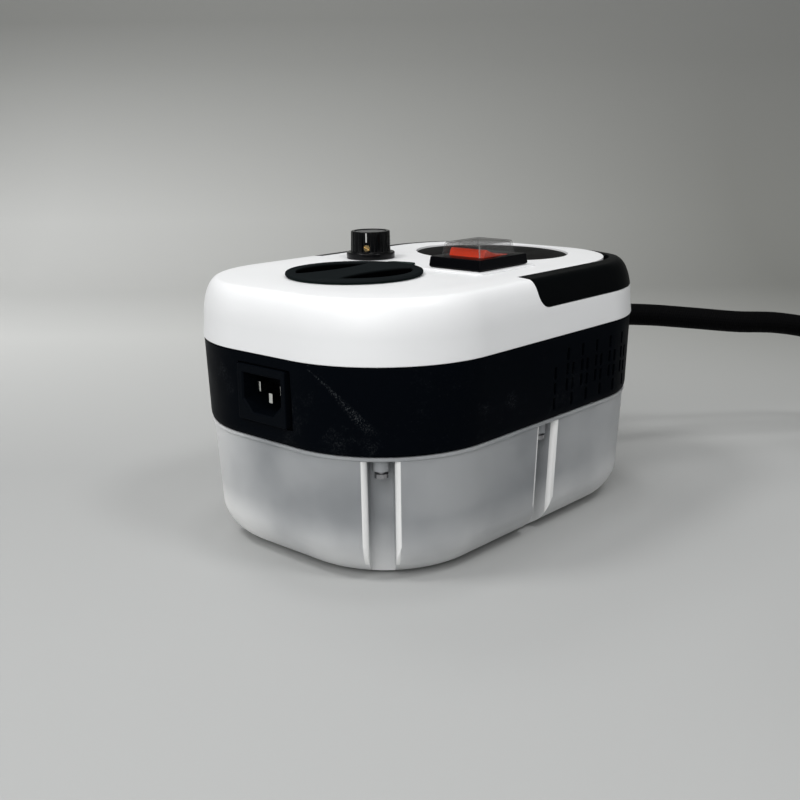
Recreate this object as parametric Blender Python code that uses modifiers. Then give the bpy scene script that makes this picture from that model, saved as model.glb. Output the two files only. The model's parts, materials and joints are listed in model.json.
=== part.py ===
"""Portable steam cleaner: tank, shell, cover and handle, the works inside, the hose and the steam gun.

Metres, +Z up. +X runs from the mains inlet to the hose outlet, and the origin is on the floor under the
middle of the body. Driving dimensions come first, then what follows from them, then a function a piece.
"""
import math

import bmesh
import bpy
from mathutils import Matrix, Vector

OBJECT_NAME = "steam_cleaner"

# Clearances
GAP = 0.0003
OVERRUN = 0.002

# Body
BODY_LENGTH = 0.200
BODY_WIDTH = 0.141
CORNER_RADIUS = 0.053
TANK_HEIGHT = 0.054
SHELL_HEIGHT = 0.036
COVER_HEIGHT = 0.0258

# Smoothness, in steps
CORNER_STEPS = 8
FILLET_STEPS = 5
SMALL_STEPS = 2
ROUND_STEPS = 12
WIDE_STEPS = 32

# Water tank
TANK_INSET = 0.0022
TANK_DRAFT_SHARE = 0.048
TANK_WALL = 0.0022
TANK_FILLET = 0.0175
RIM_INSET = 0.0008
RIM_THICKNESS = 0.0025
FLUTE_WIDTH = 0.0145
FLUTE_DEPTH = 0.009
FLUTE_MOUTH_RADIUS = 0.0024
FLUTE_BACK_RADIUS = 0.003
FLUTE_ANGLE = 40
TANK_BOSS_RADIUS = 0.00325
TANK_BOSS_HEIGHT = 0.005

# Tank screws
SCREW_RADIUS = 0.0015
SCREW_HEAD_RADIUS = 0.0028
SCREW_HEAD_HEIGHT = 0.0018
SCREW_GRIP = 0.009
SCREW_INSET = 0.0065

# Gasket and tank lid
GASKET_WIDTH = 0.0016
GASKET_THICKNESS = 0.0007
LID_THICKNESS = 0.0024

# Middle shell
SHELL_WALL = 0.0022
SHELL_LIP_INSET = 0.001
SHELL_LIP_HEIGHT = 0.0045
SHELL_BOSS_RADIUS = 0.0045
SHELL_BOSS_HEIGHT = 0.012

# Vents in the long sides
VENT_WIDTH = 0.002
VENT_HEIGHT = 0.0058
VENT_REACH = 0.0062
VENT_PAIRS = 5
VENT_PAIR_START = 0.0116
VENT_PAIR_PITCH = 0.0114
VENT_COLUMN_STEP = 0.0044
VENT_LONE_X = 0.0024
VENT_TOP_DEPTH = 0.0091
VENT_ROW_PITCH = 0.0137
VENT_STAGGER = 0.0072

# Mains inlet
INLET_RISE = 0.0192
INLET_FRAME_WIDTH = 0.031
INLET_FRAME_HEIGHT = 0.0236
INLET_FRAME_THICKNESS = 0.002
INLET_PROUD = 0.0005
INLET_BODY_WIDTH = 0.027
INLET_BODY_HEIGHT = 0.0198
INLET_DEPTH = 0.0245
INLET_SOCKET_WIDTH = 0.0235
INLET_SOCKET_HEIGHT = 0.016
INLET_SOCKET_DEPTH = 0.0155
INLET_SOCKET_CHAMFER = 0.004
INLET_PAD_MARGIN = 0.0022
INLET_PAD_THICKNESS = 0.004
BLADE_WIDTH = 0.002
BLADE_HEIGHT = 0.004
BLADE_SPREAD = 0.014
BLADE_RAISE = 0.002
BLADE_SETBACK = 0.003
BLADE_TAIL = 0.003

# Top cover
COVER_WALL = 0.0022
COVER_DRAFT_SHARE = 0.035
COVER_FILLET_WIDTH = 0.0072
COVER_FILLET_HEIGHT = 0.0177
CROWN_INSET = 0.017
CROWN_DROP = 0.0005
TONGUE_SIDE_INSET = 0.0121
TONGUE_END_INSET = 0.0096
TONGUE_CORNER = 0.045
RECESS_SWITCH_CLEARANCE = 0.00025
RECESS_END_INSET = 0.014
RECESS_Y = 0.0035
RECESS_HALF_WIDTH = 0.040
RECESS_DEPTH = 0.0018
PLATE_THICKNESS = 0.0005

# Carry handle
PIVOT_CAP_DISTANCE = 0.044
PIVOT_DROP = 0.0058
ARM_RADIUS = 0.0064
ARM_CORNER_REACH = 0.0012
ARM_POCKET_WIDTH = 0.0079
CROSSBAR_WIDTH = 0.0085
HANDLE_INNER_CORNER = 0.040
CROSSBAR_DROP = 0.0014
CROSSBAR_SLOPE_LENGTH = 0.045
PIN_RADIUS = 0.002
PIN_REACH = 0.0063
PIN_BOSS_RADIUS = 0.0045
PIN_BOSS_LENGTH = 0.0065

# Filler cap, its seal and the neck under it
CAP_END_DISTANCE = 0.053
CAP_RADIUS = 0.0296
CAP_RISE = 0.0022
CAP_EDGE = 0.0008
CAP_CUP_RADIUS = 0.0265
CAP_RECESS_RADIUS = 0.025
CAP_RECESS_DEPTH = 0.012
CAP_BAR_HALF_WIDTH = 0.010
CAP_FLOOR = 0.002
CAP_PLUG_LENGTH = 0.008
CAP_PLUG_WALL = 0.002
SEAL_CLEARANCE = 0.0002
SEAL_THICKNESS = 0.0005
SEAL_RADIUS = 0.029
SEAL_TAB_RADIUS = 0.033
SEAL_TAB_WIDTH = 0.015
SEAL_TAB_ANGLE = -10
NECK_RADIUS = 0.022
NECK_WALL = 0.002
NECK_FOOT_WIDTH = 0.003
NECK_FOOT_THICKNESS = 0.002

# Steam knob and the potentiometer that it turns
KNOB_CAP_DISTANCE = 0.046
KNOB_SIDE_INSET = 0.0365
KNOB_RISE = 0.013
KNOB_SKIRT_RADIUS = 0.0115
KNOB_SKIRT_HEIGHT = 0.0028
KNOB_RADIUS = 0.0095
KNOB_TAPER = 0.0002
KNOB_EDGE = 0.0005
KNOB_FLUTES = 20
KNOB_FLUTE_RADIUS = 0.0011
KNOB_FLUTE_OFFSET = 0.0007
KNOB_DISC_RADIUS = 0.0074
KNOB_DISC_THICKNESS = 0.0006
KNOB_DISC_SINK = 0.0004
KNOB_POINTER_ANGLE = 211
KNOB_SETSCREW_RADIUS = 0.0015
KNOB_SETSCREW_SINK = 0.0004
KNOB_SETSCREW_SLOT = 0.0005
KNOB_SETSCREW_RISE = 0.0052
KNOB_ROOF = 0.0018
POT_RADIUS = 0.008
POT_HEIGHT = 0.008
POT_FLOOR = 0.001
POT_BUSHING_RADIUS = 0.0037
POT_SHAFT_RADIUS = 0.0026
POT_NUT_RADIUS = 0.0056
POT_NUT_HEIGHT = 0.0018

# Rocker switch and its clear cover
SWITCH_CAP_DISTANCE = 0.050
SWITCH_SIDE_INSET = 0.043
PAD_LENGTH = 0.0355
PAD_WIDTH = 0.037
PAD_HEIGHT = 0.0008
PAD_CORNER = 0.0015
BEZEL_LENGTH = 0.0285
BEZEL_WIDTH = 0.0325
BEZEL_HEIGHT = 0.005
BEZEL_TAPER = 0.0004
BEZEL_CORNER = 0.0012
SWITCH_BODY_MARGIN = 0.0018
SWITCH_BODY_DEPTH = 0.021
ROCKER_RADIUS = 0.0106
ROCKER_WIDTH = 0.0245
ROCKER_THROW = 24
ROCKER_FACE_ANGLE = 25
ROCKER_FLANK_ANGLE = 32
ROCKER_DISH = 0.001
ROCKER_PIVOT_DROP = 0.002
ROCKER_TRUNNION_RADIUS = 0.0015
ROCKER_TRUNNION_LENGTH = 0.0011
ROCKER_WELL_DEPTH = 0.009
GUARD_LENGTH = 0.0265
GUARD_WIDTH = 0.0275
GUARD_HEIGHT = 0.0057
GUARD_TAPER = 0.0009
GUARD_WALL = 0.0005
GUARD_CORNER = 0.0012

# Heater block and what is fitted to it
HEATER_PUMP_CLEARANCE = 0.010
HEATER_END_INSET = 0.021
HEATER_SIDE_INSET = 0.0345
HEATER_HEIGHT = 0.025
HEATER_EDGE = 0.003
HEATER_FOOT_RADIUS = 0.004
HEATER_FOOT_HEIGHT = 0.0045
HEATER_FOOT_INSET = 0.008
OUTLET_FITTING_RADIUS = 0.007
OUTLET_FITTING_LENGTH = 0.008
PIPE_RADIUS = 0.003
PIPE_SEAT_DEPTH = 0.003
INLET_FITTING_RADIUS = 0.005
INLET_FITTING_LENGTH = 0.009
BARB_RADIUS = 0.0018
BARB_LENGTH = 0.006
RELIEF_RADIUS = 0.006
RELIEF_HEIGHT = 0.012
THERMOSTAT_RADIUS = 0.008
THERMOSTAT_HEIGHT = 0.007
FUSE_RADIUS = 0.0025
FUSE_LENGTH = 0.014

# Water pump
PUMP_CAP_DISTANCE = 0.051
PUMP_Y = 0.002
PUMP_RADIUS = 0.008
PUMP_LENGTH = 0.050
PUMP_COIL_LENGTH = 0.026
PUMP_COIL_WIDTH = 0.026
PUMP_COIL_HEIGHT = 0.024
PUMP_COIL_EDGE = 0.002
BRACKET_THICKNESS = 0.0015
BRACKET_WIDTH = 0.024

# Soft tubes between the tank, the pump and the heater
TUBE_RADIUS = 0.003
TUBE_BEND = 0.010
SUCTION_SIDE_INSET = 0.0235
FILTER_RADIUS = 0.006
FILTER_HEIGHT = 0.012
FILTER_CLEARANCE = 0.002

# Control board
BOARD_CAP_DISTANCE = 0.0285
BOARD_THICKNESS = 0.0016
BOARD_WIDTH = 0.076
BOARD_HEIGHT = 0.036
RAIL_WIDTH = 0.005
RAIL_HEIGHT = 0.006
RAIL_THICKNESS = 0.0015
CHIP_LENGTH = 0.012
CHIP_WIDTH = 0.016
CHIP_DEPTH = 0.009
CHIP_SPREAD = 0.024

# Hose gland and hose
OUTLET_RISE = 0.0205
HOSE_RADIUS = 0.006
GLAND_STUB_RADIUS = 0.008
GLAND_STUB_LENGTH = 0.007
GLAND_FLANGE_RADIUS = 0.0115
GLAND_FLANGE_THICKNESS = 0.0028
GLAND_SLEEVE_WALL = 0.003
GLAND_SLEEVE_TIP_WALL = 0.0018
GLAND_SLEEVE_LENGTH = 0.0115
GLAND_SEAT_DEPTH = 0.010
ROUTE_STEP = 0.028
HOSE_ROUTE = (
    (0.1408, -0.0116, 0.0732),
    (0.1616, -0.0261, 0.0714),
    (0.1809, -0.0428, 0.0687),
    (0.1998, -0.0601, 0.0659),
    (0.2196, -0.0765, 0.0641),
    (0.2392, -0.0922, 0.0585),
    (0.2561, -0.1082, 0.0466),
    (0.2689, -0.1268, 0.0320),
)
COIL_X = 0.215
COIL_Y = -0.188
COIL_RADIUS = 0.0685
COIL_PITCH = 0.0128
COIL_LAYER_PITCH = 0.0126
COIL_START_ANGLE = 12
COIL_END_ANGLE = -820
COIL_POINTS_PER_TURN = 24

# Steam gun
GUN_REAR_X = 0.100
GUN_Y = -0.250
GUN_LENGTH = 0.165
GUN_HALF_WIDTH = 0.015
GUN_HALF_HEIGHT = 0.016
GUN_WALL = 0.002
GUN_NOSE_RADIUS = 0.011
GUN_NOSE_LENGTH = 0.014
GUN_REAR_SHARE = 0.93
GUN_CORNER_SHARE = 0.8
GUN_SHOULDER_SHARES = (0.08, 0.72)
SLEEVE_LENGTH = 0.030
SLEEVE_GRIP = 0.010
SLEEVE_WALL = 0.003
SLEEVE_TIP_WALL = 0.0015
SLEEVE_COLLAR = 0.002
SLEEVE_COLLAR_LENGTH = 0.003
TRIGGER_LENGTH = 0.056
TRIGGER_WIDTH = 0.012
TRIGGER_THICKNESS = 0.005
TRIGGER_RISE = 0.0045
TRIGGER_FRONT = 0.046
TRIGGER_PIN_RADIUS = 0.0015
TRIGGER_BOSS_RADIUS = 0.0038
TRIGGER_TRAVEL = 6
VALVE_LENGTH = 0.024
VALVE_HEIGHT = 0.011
NOZZLE_RADIUS = 0.005
NOZZLE_BORE = 0.0015
NOZZLE_REACH = 0.012
NOZZLE_TIP_RADIUS = 0.003
COLLAR_WALL = 0.003
COLLAR_LENGTH = 0.010

# Levels, sides and places that follow from the sizes above
HALF_LENGTH = BODY_LENGTH / 2
HALF_WIDTH = BODY_WIDTH / 2
TANK_TOP = TANK_HEIGHT - GAP
RIM_LOW = TANK_TOP - RIM_THICKNESS
GASKET_LOW = TANK_TOP + GAP
LID_LOW = GASKET_LOW + GASKET_THICKNESS + GAP
LID_TOP = LID_LOW + LID_THICKNESS
LID_INSET = SHELL_WALL + GAP
COVER_LOW = TANK_HEIGHT + SHELL_HEIGHT
COVER_TOP = COVER_LOW + COVER_HEIGHT
COVER_CEILING = COVER_TOP - COVER_WALL
SHELL_TOP = COVER_LOW - GAP
SCREW_HOLE_RADIUS = SCREW_RADIUS + GAP
INLET_Z = TANK_HEIGHT + INLET_RISE
OUTLET_Z = TANK_HEIGHT + OUTLET_RISE
TONGUE_HALF_WIDTH = HALF_WIDTH - TONGUE_SIDE_INSET
TONGUE_END = HALF_LENGTH - TONGUE_END_INSET
HANDLE_INNER_END = HALF_LENGTH - CROSSBAR_WIDTH
CROSSBAR_SLOPE_START = HALF_LENGTH - CROSSBAR_SLOPE_LENGTH
CAP_X = CAP_END_DISTANCE - HALF_LENGTH
PIVOT_X = CAP_X + PIVOT_CAP_DISTANCE
KNOB_X = CAP_X + KNOB_CAP_DISTANCE
KNOB_Y = HALF_WIDTH - KNOB_SIDE_INSET
SWITCH_X = CAP_X + SWITCH_CAP_DISTANCE
SWITCH_Y = SWITCH_SIDE_INSET - HALF_WIDTH
RECESS_START = SWITCH_X + PAD_LENGTH / 2 + RECESS_SWITCH_CLEARANCE
RECESS_END = HALF_LENGTH - RECESS_END_INSET
RECESS_X = (RECESS_START + RECESS_END) / 2
RECESS_HALF_LENGTH = (RECESS_END - RECESS_START) / 2
PIVOT_Z = COVER_TOP - PIVOT_DROP
ARM_INNER_Y = TONGUE_HALF_WIDTH + GAP
POCKET_RADIUS = ARM_RADIUS + ARM_CORNER_REACH + GAP
CAP_TOP = COVER_TOP + CAP_RISE
CAP_FLANGE_LOW = COVER_TOP + SEAL_THICKNESS + 2 * SEAL_CLEARANCE
CAP_CUP_LOW = CAP_TOP - CAP_RECESS_DEPTH - CAP_FLOOR
CAP_PLUG_RADIUS = NECK_RADIUS - NECK_WALL - GAP
KNOB_TOP = COVER_TOP + KNOB_RISE
KNOB_LOW = COVER_TOP + GAP
POT_BUSHING_TOP = COVER_TOP + GAP + POT_NUT_HEIGHT + GAP
POT_LOW = COVER_CEILING - GAP - POT_HEIGHT
BEZEL_LOW = COVER_TOP + PAD_HEIGHT + GAP
BEZEL_TOP = COVER_TOP + PAD_HEIGHT + BEZEL_HEIGHT
ROCKER_PIVOT_Z = BEZEL_TOP - ROCKER_PIVOT_DROP
HEATER_LOW = LID_TOP + HEATER_FOOT_HEIGHT + GAP
HEATER_TOP = HEATER_LOW + HEATER_HEIGHT
PUMP_X = CAP_X + PUMP_CAP_DISTANCE
HEATER_REAR = PUMP_X + PUMP_COIL_WIDTH / 2 + HEATER_PUMP_CLEARANCE
HEATER_FRONT = HALF_LENGTH - HEATER_END_INSET
HEATER_LENGTH = HEATER_FRONT - HEATER_REAR
HEATER_X = (HEATER_REAR + HEATER_FRONT) / 2
HEATER_WIDTH = 2 * (HALF_WIDTH - HEATER_SIDE_INSET)
SUCTION_Y = SUCTION_SIDE_INSET - HALF_WIDTH
BOARD_X = CAP_X + BOARD_CAP_DISTANCE
PUMP_Z = LID_TOP + GAP + BRACKET_THICKNESS + GAP + PUMP_COIL_HEIGHT / 2
GLAND_LENGTH = GLAND_FLANGE_THICKNESS + GLAND_SLEEVE_LENGTH
HOSE_START_X = HALF_LENGTH + GAP + GLAND_LENGTH - GLAND_SEAT_DEPTH + GAP
GUN_NOSE_X = GUN_REAR_X - GUN_LENGTH
GUN_Z = GUN_HALF_HEIGHT
FLOOR_COIL_Z = HOSE_RADIUS


def start_empty():
    """Remove what the scene holds and make the two collections."""
    for old in list(bpy.data.objects):
        bpy.data.objects.remove(old, do_unlink=True)
    made = []
    for name in (OBJECT_NAME, "cutters"):
        group = bpy.data.collections.new(name)
        bpy.context.scene.collection.children.link(group)
        made.append(group)
    return made


PARTS, CUTTERS = start_empty()


def material(name, colour, roughness, metallic=0.0, alpha=1.0):
    """A Principled material."""
    made = bpy.data.materials.new(name)
    made.use_nodes = True
    shader = made.node_tree.nodes["Principled BSDF"]
    shader.inputs["Base Color"].default_value = (*colour, 1.0)
    shader.inputs["Roughness"].default_value = roughness
    shader.inputs["Metallic"].default_value = metallic
    shader.inputs["Alpha"].default_value = alpha
    return made


FROSTED = material("frosted_plastic", (0.72, 0.73, 0.72), 0.45, alpha=0.55)
BLACK = material("black_plastic", (0.018, 0.019, 0.022), 0.5)
GLOSS_BLACK = material("gloss_black_plastic", (0.010, 0.010, 0.011), 0.18)
WHITE = material("white_plastic", (0.82, 0.83, 0.84), 0.4)
GREY_PLASTIC = material("grey_plastic", (0.045, 0.047, 0.050), 0.6)
RED = material("red_plastic", (0.75, 0.09, 0.02), 0.35)
CLEAR = material("smoky_clear_plastic", (0.30, 0.30, 0.30), 0.15, alpha=0.4)
RUBBER = material("rubber", (0.030, 0.038, 0.035), 0.8)
HOSE_BRAID = material("hose_braid", (0.020, 0.020, 0.022), 0.75)
STEEL = material("steel", (0.55, 0.55, 0.56), 0.3, metallic=1.0)
BRASS = material("brass", (0.62, 0.45, 0.20), 0.3, metallic=1.0)
ALUMINIUM = material("cast_aluminium", (0.50, 0.50, 0.51), 0.5, metallic=1.0)
SILICONE = material("silicone", (0.70, 0.70, 0.66), 0.5, alpha=0.8)
BOARD_GREEN = material("circuit_board", (0.02, 0.16, 0.06), 0.5)
COIL_TAPE = material("coil_tape", (0.55, 0.40, 0.06), 0.5)
INLAY = material("inlay_metal", (0.45, 0.45, 0.45), 0.35, metallic=1.0)


# Modelling helpers

def add_object(name, data, group, look=None, origin=None):
    """Put data in the scene as an object whose origin is at origin, its shape where it was."""
    made = bpy.data.objects.new(name, data)
    group.objects.link(made)
    if origin is not None:
        data.transform(Matrix.Translation(-Vector(origin)))
        made.location = origin
    if look:
        data.materials.append(look)
    if group is CUTTERS:
        made.hide_render = True
        made.display_type = "WIRE"
    return made


def mesh_from(name, fill):
    """A mesh that fill draws into an empty bmesh, faces out and shaded smooth between sharp edges."""
    drawing = bmesh.new()
    fill(drawing)
    bmesh.ops.recalc_face_normals(drawing, faces=drawing.faces)
    data = bpy.data.meshes.new(name)
    drawing.to_mesh(data)
    drawing.free()
    data.shade_smooth()
    data.set_sharp_from_angle(angle=math.radians(35))
    return data


def loft(name, rings, group, look=None, ring_closed=False, origin=None):
    """Skin over rings of equally many points, with a cap on each end, or round to the first ring again."""
    def fill(drawing):
        rows = [[drawing.verts.new(point) for point in ring] for ring in rings]
        pairs = list(zip(rows, rows[1:]))
        if ring_closed:
            pairs.append((rows[-1], rows[0]))
        for low, high in pairs:
            for index in range(len(low)):
                after = (index + 1) % len(low)
                drawing.faces.new((low[index], low[after], high[after], high[index]))
        if not ring_closed:
            drawing.faces.new(rows[0])
            drawing.faces.new(rows[-1])
    return add_object(name, mesh_from(name, fill), group, look, origin)


def turned(name, profile, centre, group, look=None, direction=(0, 0, 1), steps=ROUND_STEPS):
    """Turn (radius, height) pairs, which run down the outer side, about a line through centre."""
    data = bpy.data.meshes.new(name)
    points = [(radius, 0, height) for radius, height in profile]
    edges = [(index, index + 1) for index in range(len(points) - 1)]
    if profile[0][0] > 0:
        edges.append((len(points) - 1, 0))
    data.from_pydata(points, edges, [])
    made = add_object(name, data, group, look)
    made.location = centre
    made.rotation_mode = "QUATERNION"
    made.rotation_quaternion = Vector((0, 0, 1)).rotation_difference(Vector(direction))
    screw = made.modifiers.new("turn", "SCREW")
    screw.steps = steps
    screw.render_steps = steps
    screw.use_merge_vertices = True
    screw.merge_threshold = 0.00001
    screw.use_smooth_shade = True
    return made


def block(name, low, high, group, look=None, edge=0, origin=None):
    """A box between two corners, with its edges bevelled by edge."""
    size = Vector(high) - Vector(low)
    place = Matrix.Translation((Vector(high) + Vector(low)) / 2) @ Matrix.Diagonal(size).to_4x4()

    def fill(drawing):
        bmesh.ops.create_cube(drawing, size=1, matrix=place)
    made = add_object(name, mesh_from(name, fill), group, look, origin)
    if edge:
        bevel = made.modifiers.new("edge", "BEVEL")
        bevel.width = edge
        bevel.segments = 2
    return made


def many_blocks(name, corners, group):
    """Several separate boxes in one cutter."""
    def fill(drawing):
        for low, high in corners:
            size = Vector(high) - Vector(low)
            place = Matrix.Translation((Vector(high) + Vector(low)) / 2) @ Matrix.Diagonal(size).to_4x4()
            bmesh.ops.create_cube(drawing, size=1, matrix=place)
    return add_object(name, mesh_from(name, fill), group)


def many_rods(name, ends, radius, group, segments=ROUND_STEPS):
    """Several separate cylinders in one object, each between two points."""
    def fill(drawing):
        for start, end in ends:
            along = Vector(end) - Vector(start)
            turn = Vector((0, 0, 1)).rotation_difference(along).to_matrix().to_4x4()
            place = Matrix.Translation((Vector(start) + Vector(end)) / 2) @ turn
            bmesh.ops.create_cone(drawing, cap_ends=True, segments=segments, radius1=radius,
                                  radius2=radius, depth=along.length, matrix=place)
    return add_object(name, mesh_from(name, fill), group)


def prism(name, outline, shift, group, look=None, origin=None):
    """A flat outline of 3-D points pushed along shift."""
    def fill(drawing):
        face = drawing.faces.new([drawing.verts.new(point) for point in outline])
        pushed = bmesh.ops.extrude_face_region(drawing, geom=[face])
        corners = [item for item in pushed["geom"] if isinstance(item, bmesh.types.BMVert)]
        bmesh.ops.translate(drawing, verts=corners, vec=shift)
    return add_object(name, mesh_from(name, fill), group, look, origin)


def combine(target, tool, operation):
    """Cut tool from target, join it to target, or keep what both fill."""
    step = target.modifiers.new(tool.name, "BOOLEAN")
    step.operation = operation
    step.object = tool
    step.solver = "EXACT"


def cut(target, *tools):
    for tool in tools:
        combine(target, tool, "DIFFERENCE")


def join(target, *tools):
    for tool in tools:
        combine(target, tool, "UNION")


def tube(name, points, radius, resolution, look):
    """A round tube through points, with closed ends."""
    curve = bpy.data.curves.new(name, "CURVE")
    curve.dimensions = "3D"
    curve.bevel_depth = radius
    curve.bevel_resolution = resolution
    curve.use_fill_caps = True
    spline = curve.splines.new("POLY")
    spline.points.add(len(points) - 1)
    for place, point in zip(spline.points, points):
        place.co = (*point, 1)
    return add_object(name, curve, PARTS, look)


def smooth_route(points, step):
    """Points about a step apart on one smooth curve through the given points."""
    route = [Vector(point) for point in points]
    ends = [2 * route[0] - route[1], *route, 2 * route[-1] - route[-2]]
    made = []
    for index in range(1, len(ends) - 2):
        before, start, end, after = ends[index - 1:index + 3]
        last, span, following = (start - before).length, (end - start).length, (after - end).length
        leave = (start - before) * span / last - (end - before) * span / (last + span) + end - start
        arrive = end - start - (after - start) * span / (span + following) + (after - end) * span / following
        pieces = max(1, round(span / step))
        for piece in range(pieces):
            share = piece / pieces
            back = 1 - share
            made.append(start * (1 + 2 * share) * back ** 2 + leave * share * back ** 2
                        + end * share ** 2 * (3 - 2 * share) - arrive * share ** 2 * back)
    made.append(route[-1])
    return made


# Outlines

def arc(centre_x, centre_y, radius, start, end, steps):
    """Points on an arc, with its angles in degrees."""
    angles = [math.radians(start + (end - start) * step / steps) for step in range(steps + 1)]
    return [(centre_x + radius * math.cos(angle), centre_y + radius * math.sin(angle)) for angle in angles]


def rounded_outline(half_length, half_width, radius, steps=CORNER_STEPS):
    """A rectangle with round corners about the origin."""
    points = []
    for quarter, (side_x, side_y) in enumerate(((1, 1), (-1, 1), (-1, -1), (1, -1))):
        points += arc(side_x * (half_length - radius), side_y * (half_width - radius), radius,
                      90 * quarter, 90 * (quarter + 1), steps)
    return points


def body_outline(inset):
    return rounded_outline(HALF_LENGTH - inset, HALF_WIDTH - inset, CORNER_RADIUS - inset)


def body_rings(profile):
    """Rings of the body's outline at (inset, height) pairs."""
    return [[(x, y, height) for x, y in body_outline(inset)] for inset, height in profile]


def at_height(outline, height, shift=(0, 0)):
    return [(x + shift[0], y + shift[1], height) for x, y in outline]


def in_side_view(outline, y):
    return [(x, y, z) for x, z in outline]


# Tank, its flutes and its screws

def flute_places():
    """Angle and corner centre of each flute's outward line, at the corners and mid-sides."""
    corner_x = HALF_LENGTH - CORNER_RADIUS
    corner_y = HALF_WIDTH - CORNER_RADIUS
    places = []
    for side_y in (-1, 1):
        for side_x in (-1, 1):
            angle = math.atan2(side_y * math.sin(math.radians(FLUTE_ANGLE)),
                               side_x * math.cos(math.radians(FLUTE_ANGLE)))
            places.append((angle, Vector((side_x * corner_x, side_y * corner_y)), True))
        places.append((side_y * math.pi / 2, Vector((0, side_y * corner_y)), False))
    return places


def tank_wall_inset(height):
    return TANK_INSET + TANK_DRAFT_SHARE * (TANK_TOP - height)


def flute_point(place, inset):
    angle, centre, _ = place
    return centre + (CORNER_RADIUS - inset) * Vector((math.cos(angle), math.sin(angle)))


def flute_section(place, height, grow):
    """The U of one flute at a height, wider and deeper by grow."""
    angle, _, at_corner = place
    outward = Vector((math.cos(angle), math.sin(angle)))
    along = Vector((-outward.y, outward.x))
    inset = tank_wall_inset(height)
    half = FLUTE_WIDTH / 2 + grow
    depth = FLUTE_DEPTH + grow
    mouth = FLUTE_MOUTH_RADIUS
    back = FLUTE_BACK_RADIUS + grow
    radius = CORNER_RADIUS - inset
    sink = radius - math.sqrt(radius ** 2 - (half + mouth) ** 2) if at_corner else 0
    right = [(half + mouth, -OVERRUN)]
    right += [(x, y) for x, y in arc(half + mouth, sink + mouth, mouth, -90, -180, SMALL_STEPS)]
    right += arc(half - back, depth - back, back, 0, 90, SMALL_STEPS)
    left = [(-x, y) for x, y in reversed(right)]
    base = flute_point(place, inset)
    flat = [base + along * across - outward * inward for across, inward in right + left]
    return [(point.x, point.y, height) for point in flat]


def flute_body(name, grow, top):
    """All six flutes as one cutter, which leans with the tank's wall."""
    def fill(drawing):
        for place in flute_places():
            rows = []
            for height in (-OVERRUN, top):
                rows.append([drawing.verts.new(point) for point in flute_section(place, height, grow)])
            low, high = rows
            for index in range(len(low)):
                after = (index + 1) % len(low)
                drawing.faces.new((low[index], low[after], high[after], high[index]))
            drawing.faces.new(low)
            drawing.faces.new(high)
    return add_object(name, mesh_from(name, fill), CUTTERS)


def tank_profile(offset, top):
    """(inset, height) pairs up the tank's wall, moved in by offset."""
    fillet = TANK_FILLET - offset
    foot = tank_wall_inset(TANK_FILLET) + offset + fillet
    pairs = [(foot - x, offset + fillet - z) for x, z in arc(0, 0, fillet, 90, 0, FILLET_STEPS)]
    return pairs + [(tank_wall_inset(top) + offset, top)]


def screw_rods(name, radius, low, high):
    """An upright rod on each tank screw's line."""
    spots = [flute_point(place, SCREW_INSET) for place in flute_places()]
    return many_rods(name, [((spot.x, spot.y, low), (spot.x, spot.y, high)) for spot in spots],
                     radius, CUTTERS, segments=12)


def water_tank():
    outer = tank_profile(0, RIM_LOW) + [(RIM_INSET, RIM_LOW), (RIM_INSET, TANK_TOP)]
    tank = loft("water_tank", body_rings(outer), PARTS, FROSTED)
    cavity = loft("tank_cavity", body_rings(tank_profile(TANK_WALL, TANK_TOP + OVERRUN)), CUTTERS)
    cut(cavity, flute_body("flute_walls", TANK_WALL, TANK_TOP + 2 * OVERRUN))
    cut(tank, flute_body("flutes", 0, RIM_LOW), cavity)
    boss_low = RIM_LOW - TANK_BOSS_HEIGHT
    join(tank, screw_rods("tank_bosses", TANK_BOSS_RADIUS, boss_low, RIM_LOW + RIM_THICKNESS / 2))
    cut(tank, screw_rods("tank_screw_holes", SCREW_HOLE_RADIUS, boss_low - OVERRUN, TANK_TOP + OVERRUN))


def tank_screws():
    seat = RIM_LOW - TANK_BOSS_HEIGHT - GAP
    tip = LID_TOP + GAP + SCREW_GRIP - seat
    profile = [(0, tip), (SCREW_RADIUS, tip), (SCREW_RADIUS, 0), (SCREW_HEAD_RADIUS, 0),
               (SCREW_HEAD_RADIUS, -SCREW_HEAD_HEIGHT), (0, -SCREW_HEAD_HEIGHT)]
    for number, place in enumerate(flute_places(), 1):
        spot = flute_point(place, SCREW_INSET)
        turned(f"tank_screw_{number}", profile, (spot.x, spot.y, seat), PARTS, STEEL, steps=12)


def tank_gasket():
    inner = LID_INSET + GASKET_WIDTH
    top = GASKET_LOW + GASKET_THICKNESS
    profile = [(LID_INSET, GASKET_LOW), (LID_INSET, top), (inner, top), (inner, GASKET_LOW)]
    loft("tank_gasket", body_rings(profile), PARTS, RUBBER, ring_closed=True)


def heater_feet():
    """Plan places of the heater's feet."""
    half_x = HEATER_LENGTH / 2 - HEATER_FOOT_INSET
    half_y = HEATER_WIDTH / 2 - HEATER_FOOT_INSET
    return [(HEATER_X + side_x * half_x, side_y * half_y) for side_x in (-1, 1) for side_y in (-1, 1)]


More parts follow.
